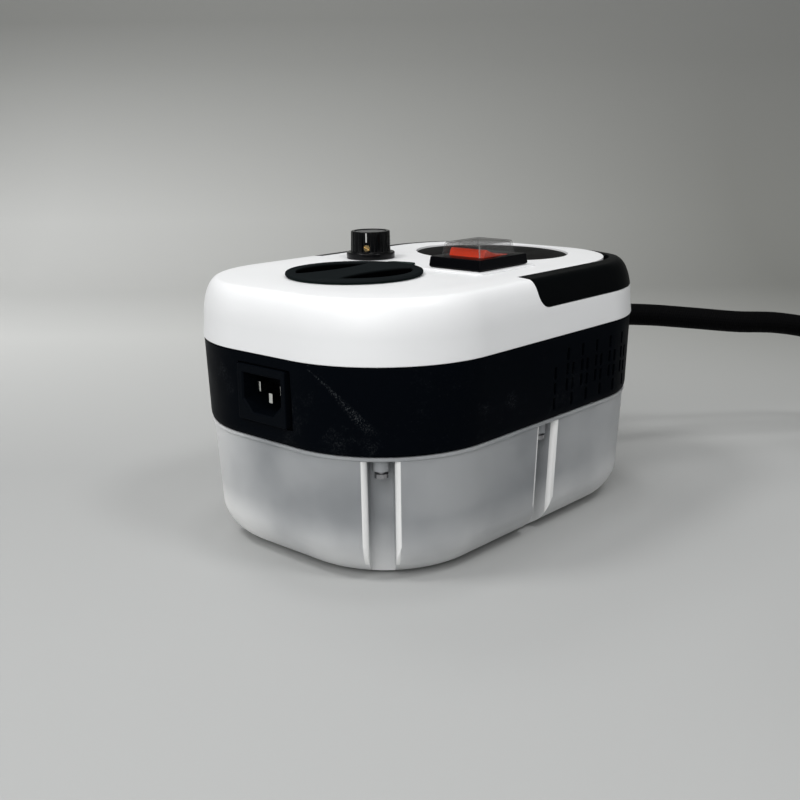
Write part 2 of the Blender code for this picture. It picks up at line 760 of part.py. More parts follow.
def tank_lid():
    """The chassis: it closes the tank and carries the heater, the pump, the board and the neck."""
    lid = loft("tank_lid", body_rings([(LID_INSET, LID_LOW), (LID_INSET, LID_TOP)]), PARTS, BLACK)
    bedded = LID_TOP - LID_THICKNESS / 2
    feet = [((x, y, bedded), (x, y, LID_TOP + HEATER_FOOT_HEIGHT)) for x, y in heater_feet()]
    join(lid, many_rods("heater_feet", feet, HEATER_FOOT_RADIUS, CUTTERS))
    reach = BOARD_THICKNESS / 2 + GAP
    rails = []
    for side in (-1, 1):
        near, far = sorted((side * (BOARD_WIDTH / 2 - RAIL_WIDTH), side * BOARD_WIDTH / 2))
        for face in (-1, 1):
            x_low, x_high = sorted((face * reach, face * (reach + RAIL_THICKNESS)))
            rails.append(((BOARD_X + x_low, near, bedded), (BOARD_X + x_high, far, LID_TOP + RAIL_HEIGHT)))
    join(lid, many_blocks("board_rails", rails, CUTTERS))
    through = (LID_LOW - OVERRUN, LID_TOP + OVERRUN)
    cut(lid, screw_rods("lid_screw_holes", SCREW_HOLE_RADIUS, *through))
    neck_hole = [((CAP_X, 0, through[0]), (CAP_X, 0, through[1]))]
    cut(lid, many_rods("neck_hole", neck_hole, NECK_RADIUS - NECK_WALL, CUTTERS, segments=WIDE_STEPS))
    suction_hole = [((PUMP_X, SUCTION_Y, through[0]), (PUMP_X, SUCTION_Y, through[1]))]
    cut(lid, many_rods("suction_hole", suction_hole, TUBE_RADIUS + GAP, CUTTERS))


# Middle shell

def vent_spots():
    """(x, height) of each slot on one long side, in pairs of staggered columns."""
    top = COVER_LOW - VENT_TOP_DEPTH
    even = [top, top - VENT_ROW_PITCH]
    odd = [level - VENT_STAGGER for level in even]
    spots = [(VENT_LONE_X, level) for level in odd]
    for pair in range(VENT_PAIRS):
        start = VENT_PAIR_START + pair * VENT_PAIR_PITCH
        spots += [(start, level) for level in even]
        spots += [(start + VENT_COLUMN_STEP, level) for level in odd]
    return spots


def vent_slots():
    """Slots through both long sides, as one cutter."""
    slots = []
    for side in (-1, 1):
        near, far = sorted((side * (HALF_WIDTH - VENT_REACH), side * (HALF_WIDTH + OVERRUN)))
        for x, level in vent_spots():
            slots.append(((x - VENT_WIDTH / 2, near, level - VENT_HEIGHT / 2),
                          (x + VENT_WIDTH / 2, far, level + VENT_HEIGHT / 2)))
    return many_blocks("vent_slots", slots, CUTTERS)


def inlet_block(name, grow_y, grow_z, x_low, x_high, group=None, look=None):
    """A box on the mains inlet's line, between two depths from the body's end face."""
    return block(name, (-HALF_LENGTH + x_low, -grow_y, INLET_Z - grow_z),
                 (-HALF_LENGTH + x_high, grow_y, INLET_Z + grow_z), group or CUTTERS, look)


def middle_shell():
    outer = [(SHELL_LIP_INSET * (1 - z), TANK_HEIGHT + SHELL_LIP_HEIGHT * (1 - x))
             for x, z in arc(0, 0, 1, 0, 90, SMALL_STEPS)]
    profile = outer + [(0, SHELL_TOP), (SHELL_WALL, SHELL_TOP), (SHELL_WALL, TANK_HEIGHT)]
    shell = loft("middle_shell", body_rings(profile), PARTS, BLACK, ring_closed=True)
    boss_low = LID_TOP + GAP
    join(shell, screw_rods("shell_bosses", SHELL_BOSS_RADIUS, boss_low, boss_low + SHELL_BOSS_HEIGHT))
    pocket_y = INLET_FRAME_WIDTH / 2 + GAP
    pocket_z = INLET_FRAME_HEIGHT / 2 + GAP
    pocket_depth = INLET_FRAME_THICKNESS - INLET_PROUD + GAP
    join(shell, inlet_block("inlet_pad", pocket_y + INLET_PAD_MARGIN, pocket_z + INLET_PAD_MARGIN,
                            SHELL_WALL / 2, INLET_PAD_THICKNESS))
    cut(shell, inlet_block("inlet_pocket", pocket_y, pocket_z, -OVERRUN, pocket_depth))
    cut(shell, inlet_block("inlet_hole", INLET_BODY_WIDTH / 2 + GAP, INLET_BODY_HEIGHT / 2 + GAP,
                           0, INLET_PAD_THICKNESS + OVERRUN))
    gland_hole = [((HALF_LENGTH - SHELL_WALL - OVERRUN, 0, OUTLET_Z), (HALF_LENGTH + OVERRUN, 0, OUTLET_Z))]
    cut(shell, many_rods("gland_hole", gland_hole, GLAND_STUB_RADIUS + GAP, CUTTERS, segments=24))
    cut(shell, screw_rods("shell_screw_holes", SCREW_HOLE_RADIUS, boss_low - OVERRUN,
                          boss_low + SCREW_GRIP + GAP))
    cut(shell, vent_slots())


# Mains inlet

def mains_inlet():
    front = -INLET_PROUD
    back = INLET_FRAME_THICKNESS - INLET_PROUD
    housing = inlet_block("inlet_housing", INLET_FRAME_WIDTH / 2, INLET_FRAME_HEIGHT / 2, front, back,
                          PARTS, BLACK)
    bedded = back - INLET_FRAME_THICKNESS / 2
    join(housing, inlet_block("inlet_body", INLET_BODY_WIDTH / 2, INLET_BODY_HEIGHT / 2, bedded, INLET_DEPTH))
    half_y = INLET_SOCKET_WIDTH / 2
    half_z = INLET_SOCKET_HEIGHT / 2
    chamfer = INLET_SOCKET_CHAMFER
    mouth = [(-half_y, half_z), (-half_y, chamfer - half_z), (chamfer - half_y, -half_z),
             (half_y - chamfer, -half_z), (half_y, chamfer - half_z), (half_y, half_z)]
    start = -HALF_LENGTH + front - OVERRUN
    outline = [(start, y, INLET_Z + z) for y, z in mouth]
    cut(housing, prism("inlet_socket", outline, (INLET_SOCKET_DEPTH + OVERRUN, 0, 0), CUTTERS))
    places = {
        "live": (BLADE_SPREAD / 2, BLADE_RAISE),
        "neutral": (-BLADE_SPREAD / 2, BLADE_RAISE),
        "earth": (0, -BLADE_RAISE),
    }
    slots = []
    for name, (y, z) in places.items():
        low = Vector((-HALF_LENGTH + BLADE_SETBACK, y - BLADE_WIDTH / 2, INLET_Z + z - BLADE_HEIGHT / 2))
        high = Vector((-HALF_LENGTH + INLET_DEPTH + BLADE_TAIL, y + BLADE_WIDTH / 2,
                       INLET_Z + z + BLADE_HEIGHT / 2))
        block(f"inlet_blade_{name}", low, high, PARTS, STEEL)
        play = Vector((0, GAP, GAP))
        slots.append((low - play, high + play))
    cut(housing, many_blocks("blade_slots", slots, CUTTERS))


# Top cover and carry handle

def cover_profile(offset, low):
    """(inset, height) pairs up the cover's side and over its edge, moved in by offset."""
    bend = COVER_TOP - COVER_FILLET_HEIGHT
    base = COVER_DRAFT_SHARE * (bend - COVER_LOW) + offset
    width = COVER_FILLET_WIDTH - offset / 2
    height = COVER_FILLET_HEIGHT - offset - CROWN_DROP
    pairs = [(offset, low)]
    pairs += [(base + width * (1 - x), bend + height * z) for x, z in arc(0, 0, 1, 0, 90, FILLET_STEPS)]
    return pairs + [(CROWN_INSET, COVER_TOP - offset)]


def groove_region(name, grow, inner_half, inner_end, inner_corner):
    """Where the folded handle lies: round the cover's edge and outside an inner outline."""
    radius = ARM_RADIUS + grow
    top = COVER_TOP + OVERRUN
    side = [(PIVOT_X - radius, top)]
    side += arc(PIVOT_X, PIVOT_Z, radius, 180, 270, FILLET_STEPS)
    side += [(HALF_LENGTH + OVERRUN, PIVOT_Z - radius), (HALF_LENGTH + OVERRUN, top)]
    region = prism(name, in_side_view(side, -HALF_WIDTH - OVERRUN),
                   (0, BODY_WIDTH + 2 * OVERRUN, 0), CUTTERS)
    inner = rounded_outline(inner_end, inner_half, inner_corner)
    cut(region, prism(f"{name}_inside", at_height(inner, COVER_LOW), (0, 0, COVER_HEIGHT + 2 * OVERRUN),
                      CUTTERS))
    return region


def pivot_rods(name, radius, near, far, segments=24):
    """A rod on the handle's pivot line at each side."""
    ends = [((PIVOT_X, side * near, PIVOT_Z), (PIVOT_X, side * far, PIVOT_Z)) for side in (-1, 1)]
    return many_rods(name, ends, radius, CUTTERS, segments=segments)


def ellipse(centre_x, centre_y, half_length, half_width, steps=WIDE_STEPS):
    return [(centre_x + half_length * x, centre_y + half_width * y)
            for x, y in arc(0, 0, 1, 0, 360 - 360 / steps, steps - 1)]


def recess_prism(name, grow, low, high, group, look=None):
    outline = ellipse(RECESS_X, RECESS_Y, RECESS_HALF_LENGTH + grow, RECESS_HALF_WIDTH + grow)
    return prism(name, at_height(outline, low), (0, 0, high - low), group, look)


def switch_outline(length, width, corner):
    return rounded_outline(length / 2, width / 2, corner, steps=SMALL_STEPS)


def switch_prism(name, length, width, corner, low, high, group, look=None):
    outline = at_height(switch_outline(length, width, corner), low, (SWITCH_X, SWITCH_Y))
    return prism(name, outline, (0, 0, high - low), group, look)


def switch_body_size():
    length = 2 * (ROCKER_RADIUS + GAP + SWITCH_BODY_MARGIN)
    width = ROCKER_WIDTH + 2 * (GAP + SWITCH_BODY_MARGIN)
    return length, width


def top_cover():
    cover = loft("top_cover", body_rings(cover_profile(0, COVER_LOW)), PARTS, WHITE)
    hollow = loft("cover_hollow", body_rings(cover_profile(COVER_WALL, COVER_LOW - OVERRUN)), CUTTERS)
    pocket_near = TONGUE_HALF_WIDTH - GAP / 3
    pocket_far = TONGUE_HALF_WIDTH + ARM_POCKET_WIDTH
    cut(hollow, groove_region("groove_wall", GAP + COVER_WALL, TONGUE_HALF_WIDTH - COVER_WALL,
                              TONGUE_END - COVER_WALL, TONGUE_CORNER - COVER_WALL))
    cut(hollow, pivot_rods("pocket_wall", POCKET_RADIUS + COVER_WALL / 2, pocket_near - COVER_WALL,
                           HALF_WIDTH + OVERRUN))
    cut(hollow, recess_prism("recess_wall", COVER_WALL, COVER_CEILING - RECESS_DEPTH,
                             COVER_CEILING + OVERRUN, CUTTERS))
    cut(cover, hollow)
    boss_far = TONGUE_HALF_WIDTH - COVER_WALL / 2
    join(cover, pivot_rods("pin_bosses", PIN_BOSS_RADIUS, boss_far - PIN_BOSS_LENGTH, boss_far))
    join(cover, switch_prism("switch_pad", PAD_LENGTH, PAD_WIDTH, PAD_CORNER, COVER_CEILING + COVER_WALL / 2,
                             COVER_TOP + PAD_HEIGHT, CUTTERS))
    cut(cover, groove_region("groove", GAP, TONGUE_HALF_WIDTH, TONGUE_END, TONGUE_CORNER))
    cut(cover, pivot_rods("arm_pockets", POCKET_RADIUS, pocket_near, pocket_far))
    cut(cover, pivot_rods("cover_pin_holes", PIN_RADIUS + GAP, boss_far - PIN_BOSS_LENGTH - OVERRUN,
                          TONGUE_HALF_WIDTH + OVERRUN, segments=12))
    cut(cover, recess_prism("recess", 0, COVER_TOP - RECESS_DEPTH, COVER_TOP + OVERRUN, CUTTERS))
    through = (COVER_CEILING - OVERRUN, COVER_TOP + OVERRUN)
    neck = [((CAP_X, 0, through[0]), (CAP_X, 0, through[1]))]
    cut(cover, many_rods("cap_hole", neck, CAP_CUP_RADIUS + 2 * GAP, CUTTERS, segments=WIDE_STEPS))
    knob = [((KNOB_X, KNOB_Y, through[0]), (KNOB_X, KNOB_Y, through[1]))]
    cut(cover, many_rods("knob_hole", knob, POT_BUSHING_RADIUS + GAP, CUTTERS))
    length, width = switch_body_size()
    cut(cover, switch_prism("switch_hole", length + 2 * GAP, width + 2 * GAP, PAD_CORNER,
                            through[0], COVER_TOP + PAD_HEIGHT + OVERRUN, CUTTERS))


def top_plate():
    """The bare plate in the cover's recess."""
    low = COVER_TOP - RECESS_DEPTH + GAP
    recess_prism("top_plate", -GAP, low, low + PLATE_THICKNESS, PARTS, GREY_PLASTIC)


def carry_handle():
    """A folding bail: two arms and a crossbar, all flush with the cover when folded."""
    origin = (PIVOT_X, 0, PIVOT_Z)
    handle = loft("carry_handle", body_rings(cover_profile(0, COVER_LOW)), PARTS, BLACK, origin=origin)
    region = groove_region("handle_region", 0, ARM_INNER_Y, HANDLE_INNER_END, HANDLE_INNER_CORNER)
    combine(handle, region, "INTERSECT")
    reach = ARM_RADIUS + ARM_CORNER_REACH
    flare = math.degrees(math.acos(ARM_RADIUS / reach))
    top = COVER_TOP + OVERRUN
    far = PIVOT_X - reach - OVERRUN
    corner = arc(PIVOT_X, PIVOT_Z, reach, 90, 180 - flare, FILLET_STEPS)
    corner += [(far, corner[-1][1]), (far, top), (PIVOT_X, top)]
    cut(handle, prism("arm_corner", in_side_view(corner, -HALF_WIDTH - OVERRUN),
                      (0, BODY_WIDTH + 2 * OVERRUN, 0), CUTTERS))
    outer_y = TONGUE_HALF_WIDTH + ARM_POCKET_WIDTH - GAP
    rim = arc(PIVOT_X, PIVOT_Z, ARM_RADIUS, 90, 180, FILLET_STEPS)
    rim += [(far, PIVOT_Z), (far, top), (PIVOT_X, top)]
    for side, label in ((-1, "left"), (1, "right")):
        cut(handle, prism(f"arm_outer_corner_{label}", in_side_view(rim, side * outer_y),
                          (0, side * (HALF_WIDTH + OVERRUN - outer_y), 0), CUTTERS))
    slope = [(CROSSBAR_SLOPE_START, top), (CROSSBAR_SLOPE_START, COVER_TOP),
             (HANDLE_INNER_END, COVER_TOP - CROSSBAR_DROP),
             (HALF_LENGTH + OVERRUN, COVER_TOP - CROSSBAR_DROP), (HALF_LENGTH + OVERRUN, top)]
    cut(handle, prism("crossbar_slope", in_side_view(slope, -HALF_WIDTH - OVERRUN),
                      (0, BODY_WIDTH + 2 * OVERRUN, 0), CUTTERS))
    cut(handle, pivot_rods("arm_pin_holes", PIN_RADIUS + GAP, ARM_INNER_Y - OVERRUN,
                           ARM_INNER_Y + PIN_REACH + GAP, segments=12))


def handle_pins():
    start = TONGUE_HALF_WIDTH - COVER_WALL / 2 - PIN_BOSS_LENGTH + GAP
    length = ARM_INNER_Y + PIN_REACH - start
    profile = [(0, length), (PIN_RADIUS, length), (PIN_RADIUS, 0), (0, 0)]
    for side, label in ((-1, "left"), (1, "right")):
        turned(f"handle_pin_{label}", profile, (PIVOT_X, side * start, PIVOT_Z), PARTS, STEEL,
               direction=(0, side, 0), steps=12)


# Filler cap, seal and neck

def filler_cap():
    """A plug cap: a flange on the cover, a cup with a grip bar and a spigot that fits the neck."""
    cup = CAP_TOP - CAP_CUP_LOW
    flange = CAP_TOP - CAP_FLANGE_LOW
    plug = cup + CAP_PLUG_LENGTH
    inner = CAP_PLUG_RADIUS - CAP_PLUG_WALL
    profile = [(0, 0), (CAP_RADIUS - CAP_EDGE, 0), (CAP_RADIUS, -CAP_EDGE), (CAP_RADIUS, -flange),
               (CAP_CUP_RADIUS, -flange), (CAP_CUP_RADIUS, -cup), (CAP_PLUG_RADIUS, -cup),
               (CAP_PLUG_RADIUS, -plug), (inner, -plug), (inner, -cup), (0, -cup)]
    cap = turned("filler_cap", profile, (CAP_X, 0, CAP_TOP), PARTS, GREY_PLASTIC, steps=WIDE_STEPS)
    well = many_rods("cap_wells", [((CAP_X, 0, CAP_TOP - CAP_RECESS_DEPTH), (CAP_X, 0, CAP_TOP + OVERRUN))],
                     CAP_RECESS_RADIUS, CUTTERS, segments=WIDE_STEPS)
    cut(well, block("cap_bar", (CAP_X - CAP_RADIUS, -CAP_BAR_HALF_WIDTH, COVER_LOW),
                    (CAP_X + CAP_RADIUS, CAP_BAR_HALF_WIDTH, CAP_TOP + 2 * OVERRUN), CUTTERS))
    cut(cap, well)


def cap_seal():
    """A flat ring under the cap's flange, with a tab to pull it off by."""
    inner = CAP_CUP_RADIUS + SEAL_CLEARANCE
    profile = [(inner, SEAL_THICKNESS), (SEAL_RADIUS, SEAL_THICKNESS), (SEAL_RADIUS, 0), (inner, 0)]
    low = COVER_TOP + SEAL_CLEARANCE
    seal = turned("cap_seal", profile, (CAP_X, 0, low), PARTS, RUBBER, steps=WIDE_STEPS)
    half = SEAL_TAB_WIDTH / 2
    bend = half / 2
    near = (inner + SEAL_RADIUS) / 2
    tab = [(near, -half), (SEAL_TAB_RADIUS - bend, -half), (SEAL_TAB_RADIUS, -half + bend),
           (SEAL_TAB_RADIUS, half - bend), (SEAL_TAB_RADIUS - bend, half), (near, half)]
    turn = Matrix.Rotation(math.radians(SEAL_TAB_ANGLE), 2)
    flat = [turn @ Vector(point) for point in tab]
    join(seal, prism("seal_tab", [(CAP_X + point.x, point.y, low) for point in flat],
                     (0, 0, SEAL_THICKNESS), CUTTERS))


def filler_neck():
    low = LID_TOP + GAP
    top = CAP_CUP_LOW - GAP - low
    bore = NECK_RADIUS - NECK_WALL
    foot = NECK_RADIUS + NECK_FOOT_WIDTH
    profile = [(bore, top), (NECK_RADIUS, top), (NECK_RADIUS, NECK_FOOT_THICKNESS),
               (foot, NECK_FOOT_THICKNESS), (foot, 0), (bore, 0)]
    turned("filler_neck", profile, (CAP_X, 0, low), PARTS, BLACK, steps=WIDE_STEPS)


# Steam knob and potentiometer

def knob_rod(name, radius, start, end, segments=12):
    """A rod from the knob's axis outwards on the pointer's line."""
    angle = math.radians(KNOB_POINTER_ANGLE)
    outward = Vector((math.cos(angle), math.sin(angle), 0))
    base = Vector((KNOB_X, KNOB_Y, KNOB_LOW + KNOB_SETSCREW_RISE))
    return many_rods(name, [(base + outward * start, base + outward * end)], radius, CUTTERS, segments)


def steam_knob():
    top = KNOB_TOP - KNOB_LOW
    shoulder = KNOB_RADIUS - KNOB_TAPER
    seat = KNOB_DISC_RADIUS + GAP / 2
    floor = top - KNOB_DISC_SINK - KNOB_DISC_THICKNESS - GAP / 2
    nut_well = POT_NUT_RADIUS + 2 * GAP
    nut_roof = POT_BUSHING_TOP - KNOB_LOW + GAP
    bore = POT_SHAFT_RADIUS + GAP
    bore_roof = top - KNOB_ROOF
    profile = [(0, floor), (seat, floor), (seat, top), (shoulder - KNOB_EDGE, top),
               (shoulder, top - KNOB_EDGE), (KNOB_RADIUS, KNOB_SKIRT_HEIGHT),
               (KNOB_SKIRT_RADIUS - KNOB_EDGE, KNOB_SKIRT_HEIGHT),
               (KNOB_SKIRT_RADIUS, KNOB_SKIRT_HEIGHT - KNOB_EDGE), (KNOB_SKIRT_RADIUS, 0), (nut_well, 0),
               (nut_well, nut_roof), (bore, nut_roof), (bore, bore_roof), (0, bore_roof)]
    knob = turned("steam_knob", profile, (KNOB_X, KNOB_Y, KNOB_LOW), PARTS, GLOSS_BLACK, steps=WIDE_STEPS)
    centre = KNOB_RADIUS + KNOB_FLUTE_OFFSET
    low = KNOB_LOW + KNOB_SKIRT_HEIGHT + GAP
    flutes = []
    for number in range(KNOB_FLUTES):
        angle = math.radians(KNOB_POINTER_ANGLE) + 2 * math.pi * (number + 0.5) / KNOB_FLUTES
        x = KNOB_X + centre * math.cos(angle)
        y = KNOB_Y + centre * math.sin(angle)
        flutes.append(((x, y, low), (x, y, KNOB_TOP + OVERRUN)))
    cut(knob, many_rods("knob_flutes", flutes, KNOB_FLUTE_RADIUS, CUTTERS, segments=8))
    cut(knob, knob_rod("setscrew_hole", KNOB_SETSCREW_RADIUS + GAP / 2, 0, KNOB_RADIUS + OVERRUN))
    disc = [(0, KNOB_DISC_THICKNESS), (KNOB_DISC_RADIUS, KNOB_DISC_THICKNESS), (KNOB_DISC_RADIUS, 0), (0, 0)]
    turned("knob_disc", disc, (KNOB_X, KNOB_Y, KNOB_TOP - KNOB_DISC_SINK - KNOB_DISC_THICKNESS), PARTS,
           INLAY, steps=32)


def knob_set_screw():
    """The grub screw that grips the shaft, with its driver slot facing out."""
    angle = math.radians(KNOB_POINTER_ANGLE)
    outward = Vector((math.cos(angle), math.sin(angle), 0))
    start = POT_SHAFT_RADIUS + GAP
    end = KNOB_RADIUS - KNOB_FLUTE_RADIUS / 2 - KNOB_SETSCREW_SINK
    base = Vector((KNOB_X, KNOB_Y, KNOB_LOW + KNOB_SETSCREW_RISE))
    length = end - start
    profile = [(0, length), (KNOB_SETSCREW_RADIUS, length), (KNOB_SETSCREW_RADIUS, 0), (0, 0)]
    screw = turned("knob_set_screw", profile, base + outward * start, PARTS, BRASS, direction=outward,
                   steps=12)
    half = KNOB_SETSCREW_SLOT / 2
    reach = KNOB_SETSCREW_RADIUS + GAP
    slot = block("setscrew_slot", (-half, -reach, -KNOB_SETSCREW_SLOT), (half, reach, OVERRUN), CUTTERS)
    slot.location = base + outward * end
    slot.rotation_mode = "QUATERNION"
    slot.rotation_quaternion = Vector((0, 0, 1)).rotation_difference(outward)
    cut(screw, slot)


def potentiometer():
    top = COVER_CEILING - GAP - POT_LOW
    bushing = POT_BUSHING_TOP - POT_LOW
    bore = POT_SHAFT_RADIUS + GAP
    profile = [(0, POT_FLOOR), (bore, POT_FLOOR), (bore, bushing), (POT_BUSHING_RADIUS, bushing),
               (POT_BUSHING_RADIUS, top), (POT_RADIUS, top), (POT_RADIUS, 0), (0, 0)]
    turned("potentiometer_body", profile, (KNOB_X, KNOB_Y, POT_LOW), PARTS, BLACK)
    shaft_low = POT_LOW + POT_FLOOR + GAP
    length = KNOB_TOP - KNOB_ROOF - GAP - shaft_low
    shaft = [(0, length), (POT_SHAFT_RADIUS, length), (POT_SHAFT_RADIUS, 0), (0, 0)]
    turned("potentiometer_shaft", shaft, (KNOB_X, KNOB_Y, shaft_low), PARTS, STEEL)
    hole = POT_BUSHING_RADIUS + GAP
    nut = [(hole, POT_NUT_HEIGHT), (POT_NUT_RADIUS, POT_NUT_HEIGHT), (POT_NUT_RADIUS, 0), (hole, 0)]
    turned("potentiometer_nut", nut, (KNOB_X, KNOB_Y, COVER_TOP + GAP), PARTS, STEEL)


# Rocker switch

def switch_housing():
    wide = at_height(switch_outline(BEZEL_LENGTH, BEZEL_WIDTH, BEZEL_CORNER), BEZEL_LOW, (SWITCH_X, SWITCH_Y))
    narrow = at_height(switch_outline(BEZEL_LENGTH - 2 * BEZEL_TAPER, BEZEL_WIDTH - 2 * BEZEL_TAPER,
                                      BEZEL_CORNER), BEZEL_TOP, (SWITCH_X, SWITCH_Y))
    housing = loft("switch_housing", [wide, narrow], PARTS, GLOSS_BLACK)
    length, width = switch_body_size()
    join(housing, switch_prism("switch_body", length, width, BEZEL_CORNER, BEZEL_LOW - SWITCH_BODY_DEPTH,
                               BEZEL_LOW + BEZEL_HEIGHT / 2, CUTTERS))
    half_x = ROCKER_RADIUS + GAP
    half_y = ROCKER_WIDTH / 2 + GAP
    floor = ROCKER_PIVOT_Z - ROCKER_WELL_DEPTH
    cut(housing, block("rocker_well", (SWITCH_X - half_x, SWITCH_Y - half_y, floor),
                       (SWITCH_X + half_x, SWITCH_Y + half_y, BEZEL_TOP + OVERRUN), CUTTERS))
    reach = half_y + ROCKER_TRUNNION_LENGTH
    line = [((SWITCH_X, SWITCH_Y - reach, ROCKER_PIVOT_Z), (SWITCH_X, SWITCH_Y + reach, ROCKER_PIVOT_Z))]
    cut(housing, many_rods("trunnion_holes", line, ROCKER_TRUNNION_RADIUS + GAP, CUTTERS, segments=12))


def rocker_button():
    """A barrel-flanked rocker with a dished face, tipped so that its -X end stands up."""
    tilt = ROCKER_THROW / 2
    face = ROCKER_FACE_ANGLE
    flank = ROCKER_FLANK_ANGLE
    left = arc(0, 0, ROCKER_RADIUS, 180 + flank, 180 - face, FILLET_STEPS)
    right = arc(0, 0, ROCKER_RADIUS, face, -flank, FILLET_STEPS)
    middle = ROCKER_RADIUS * math.sin(math.radians(face)) - ROCKER_DISH
    turn = Matrix.Rotation(math.radians(-tilt), 2)
    outline = [turn @ Vector(point) for point in left + [(0, middle)] + right]
    side = [(SWITCH_X + point.x, ROCKER_PIVOT_Z + point.y) for point in outline]
    rocker = prism("rocker_button", in_side_view(side, SWITCH_Y - ROCKER_WIDTH / 2), (0, ROCKER_WIDTH, 0),
                   PARTS, RED, origin=(SWITCH_X, SWITCH_Y, ROCKER_PIVOT_Z))
    reach = ROCKER_WIDTH / 2 + ROCKER_TRUNNION_LENGTH
    line = [((SWITCH_X, SWITCH_Y - reach, ROCKER_PIVOT_Z), (SWITCH_X, SWITCH_Y + reach, ROCKER_PIVOT_Z))]
    join(rocker, many_rods("trunnions", line, ROCKER_TRUNNION_RADIUS, CUTTERS, segments=12))


def switch_cover():
    """The clear guard over the rocker: a tapered box, open below."""
    low = BEZEL_TOP + GAP
    top = low + GUARD_HEIGHT
    rings = []
    for inset, taper, height in ((GUARD_WALL, GUARD_TAPER, top - GUARD_WALL), (GUARD_WALL, 0, low),
                                 (0, 0, low), (0, GUARD_TAPER, top)):
        shrink = 2 * (inset + taper)
        outline = switch_outline(GUARD_LENGTH - shrink, GUARD_WIDTH - shrink, GUARD_CORNER)
        rings.append(at_height(outline, height, (SWITCH_X, SWITCH_Y)))
    loft("switch_cover", rings, PARTS, CLEAR)


# Heater, pump, tubes and board

def heater_group():
    half_y = HEATER_WIDTH / 2
    block("heater_block", (HEATER_REAR, -half_y, HEATER_LOW),
          (HEATER_FRONT, half_y, HEATER_TOP), PARTS, ALUMINIUM, edge=HEATER_EDGE)
    bore = PIPE_RADIUS + GAP
    seat = OUTLET_FITTING_LENGTH - PIPE_SEAT_DEPTH
    outlet = [(bore, OUTLET_FITTING_LENGTH), (OUTLET_FITTING_RADIUS, OUTLET_FITTING_LENGTH),
              (OUTLET_FITTING_RADIUS, 0), (BARB_RADIUS, 0), (BARB_RADIUS, seat), (bore, seat)]
    fitting_x = HEATER_FRONT + GAP
    turned("outlet_fitting", outlet, (fitting_x, 0, OUTLET_Z), PARTS, BRASS, direction=(1, 0, 0))
    pipe_start = fitting_x + seat + GAP
    pipe_length = HALF_LENGTH + GAP - GLAND_STUB_LENGTH + PIPE_SEAT_DEPTH - GAP - pipe_start
    pipe = [(BARB_RADIUS, pipe_length), (PIPE_RADIUS, pipe_length), (PIPE_RADIUS, 0), (BARB_RADIUS, 0)]
    turned("steam_pipe", pipe, (pipe_start, 0, OUTLET_Z), PARTS, BRASS, direction=(1, 0, 0))
    inlet = [(0, INLET_FITTING_LENGTH + BARB_LENGTH), (BARB_RADIUS, INLET_FITTING_LENGTH + BARB_LENGTH),
             (BARB_RADIUS, INLET_FITTING_LENGTH), (INLET_FITTING_RADIUS, INLET_FITTING_LENGTH),
             (INLET_FITTING_RADIUS, 0), (0, 0)]
    turned("heater_fitting", inlet, (HEATER_X, half_y + GAP, PUMP_Z), PARTS, BRASS, direction=(0, 1, 0))
    top = HEATER_TOP + GAP
    relief = [(0, RELIEF_HEIGHT), (RELIEF_RADIUS / 2, RELIEF_HEIGHT), (RELIEF_RADIUS / 2, RELIEF_HEIGHT / 2),
              (RELIEF_RADIUS, RELIEF_HEIGHT / 2), (RELIEF_RADIUS, 0), (0, 0)]
    turned("relief_valve", relief, (HEATER_X + HEATER_LENGTH / 4, 0, top), PARTS, BRASS, steps=12)
    brim = THERMOSTAT_RADIUS * 3 / 4
    disc = [(0, THERMOSTAT_HEIGHT), (brim, THERMOSTAT_HEIGHT), (brim, THERMOSTAT_HEIGHT / 4),
            (THERMOSTAT_RADIUS, THERMOSTAT_HEIGHT / 4), (THERMOSTAT_RADIUS, 0), (0, 0)]
    turned("thermostat", disc, (HEATER_X - HEATER_LENGTH / 8, half_y / 2, top), PARTS, STEEL)
    fuse = [(0, FUSE_LENGTH), (FUSE_RADIUS, FUSE_LENGTH), (FUSE_RADIUS, 0), (0, 0)]
    turned("thermal_fuse", fuse, (HEATER_X - HEATER_LENGTH / 8, -half_y / 2, top + FUSE_RADIUS), PARTS, STEEL,
           direction=(0, -1, 0), steps=12)


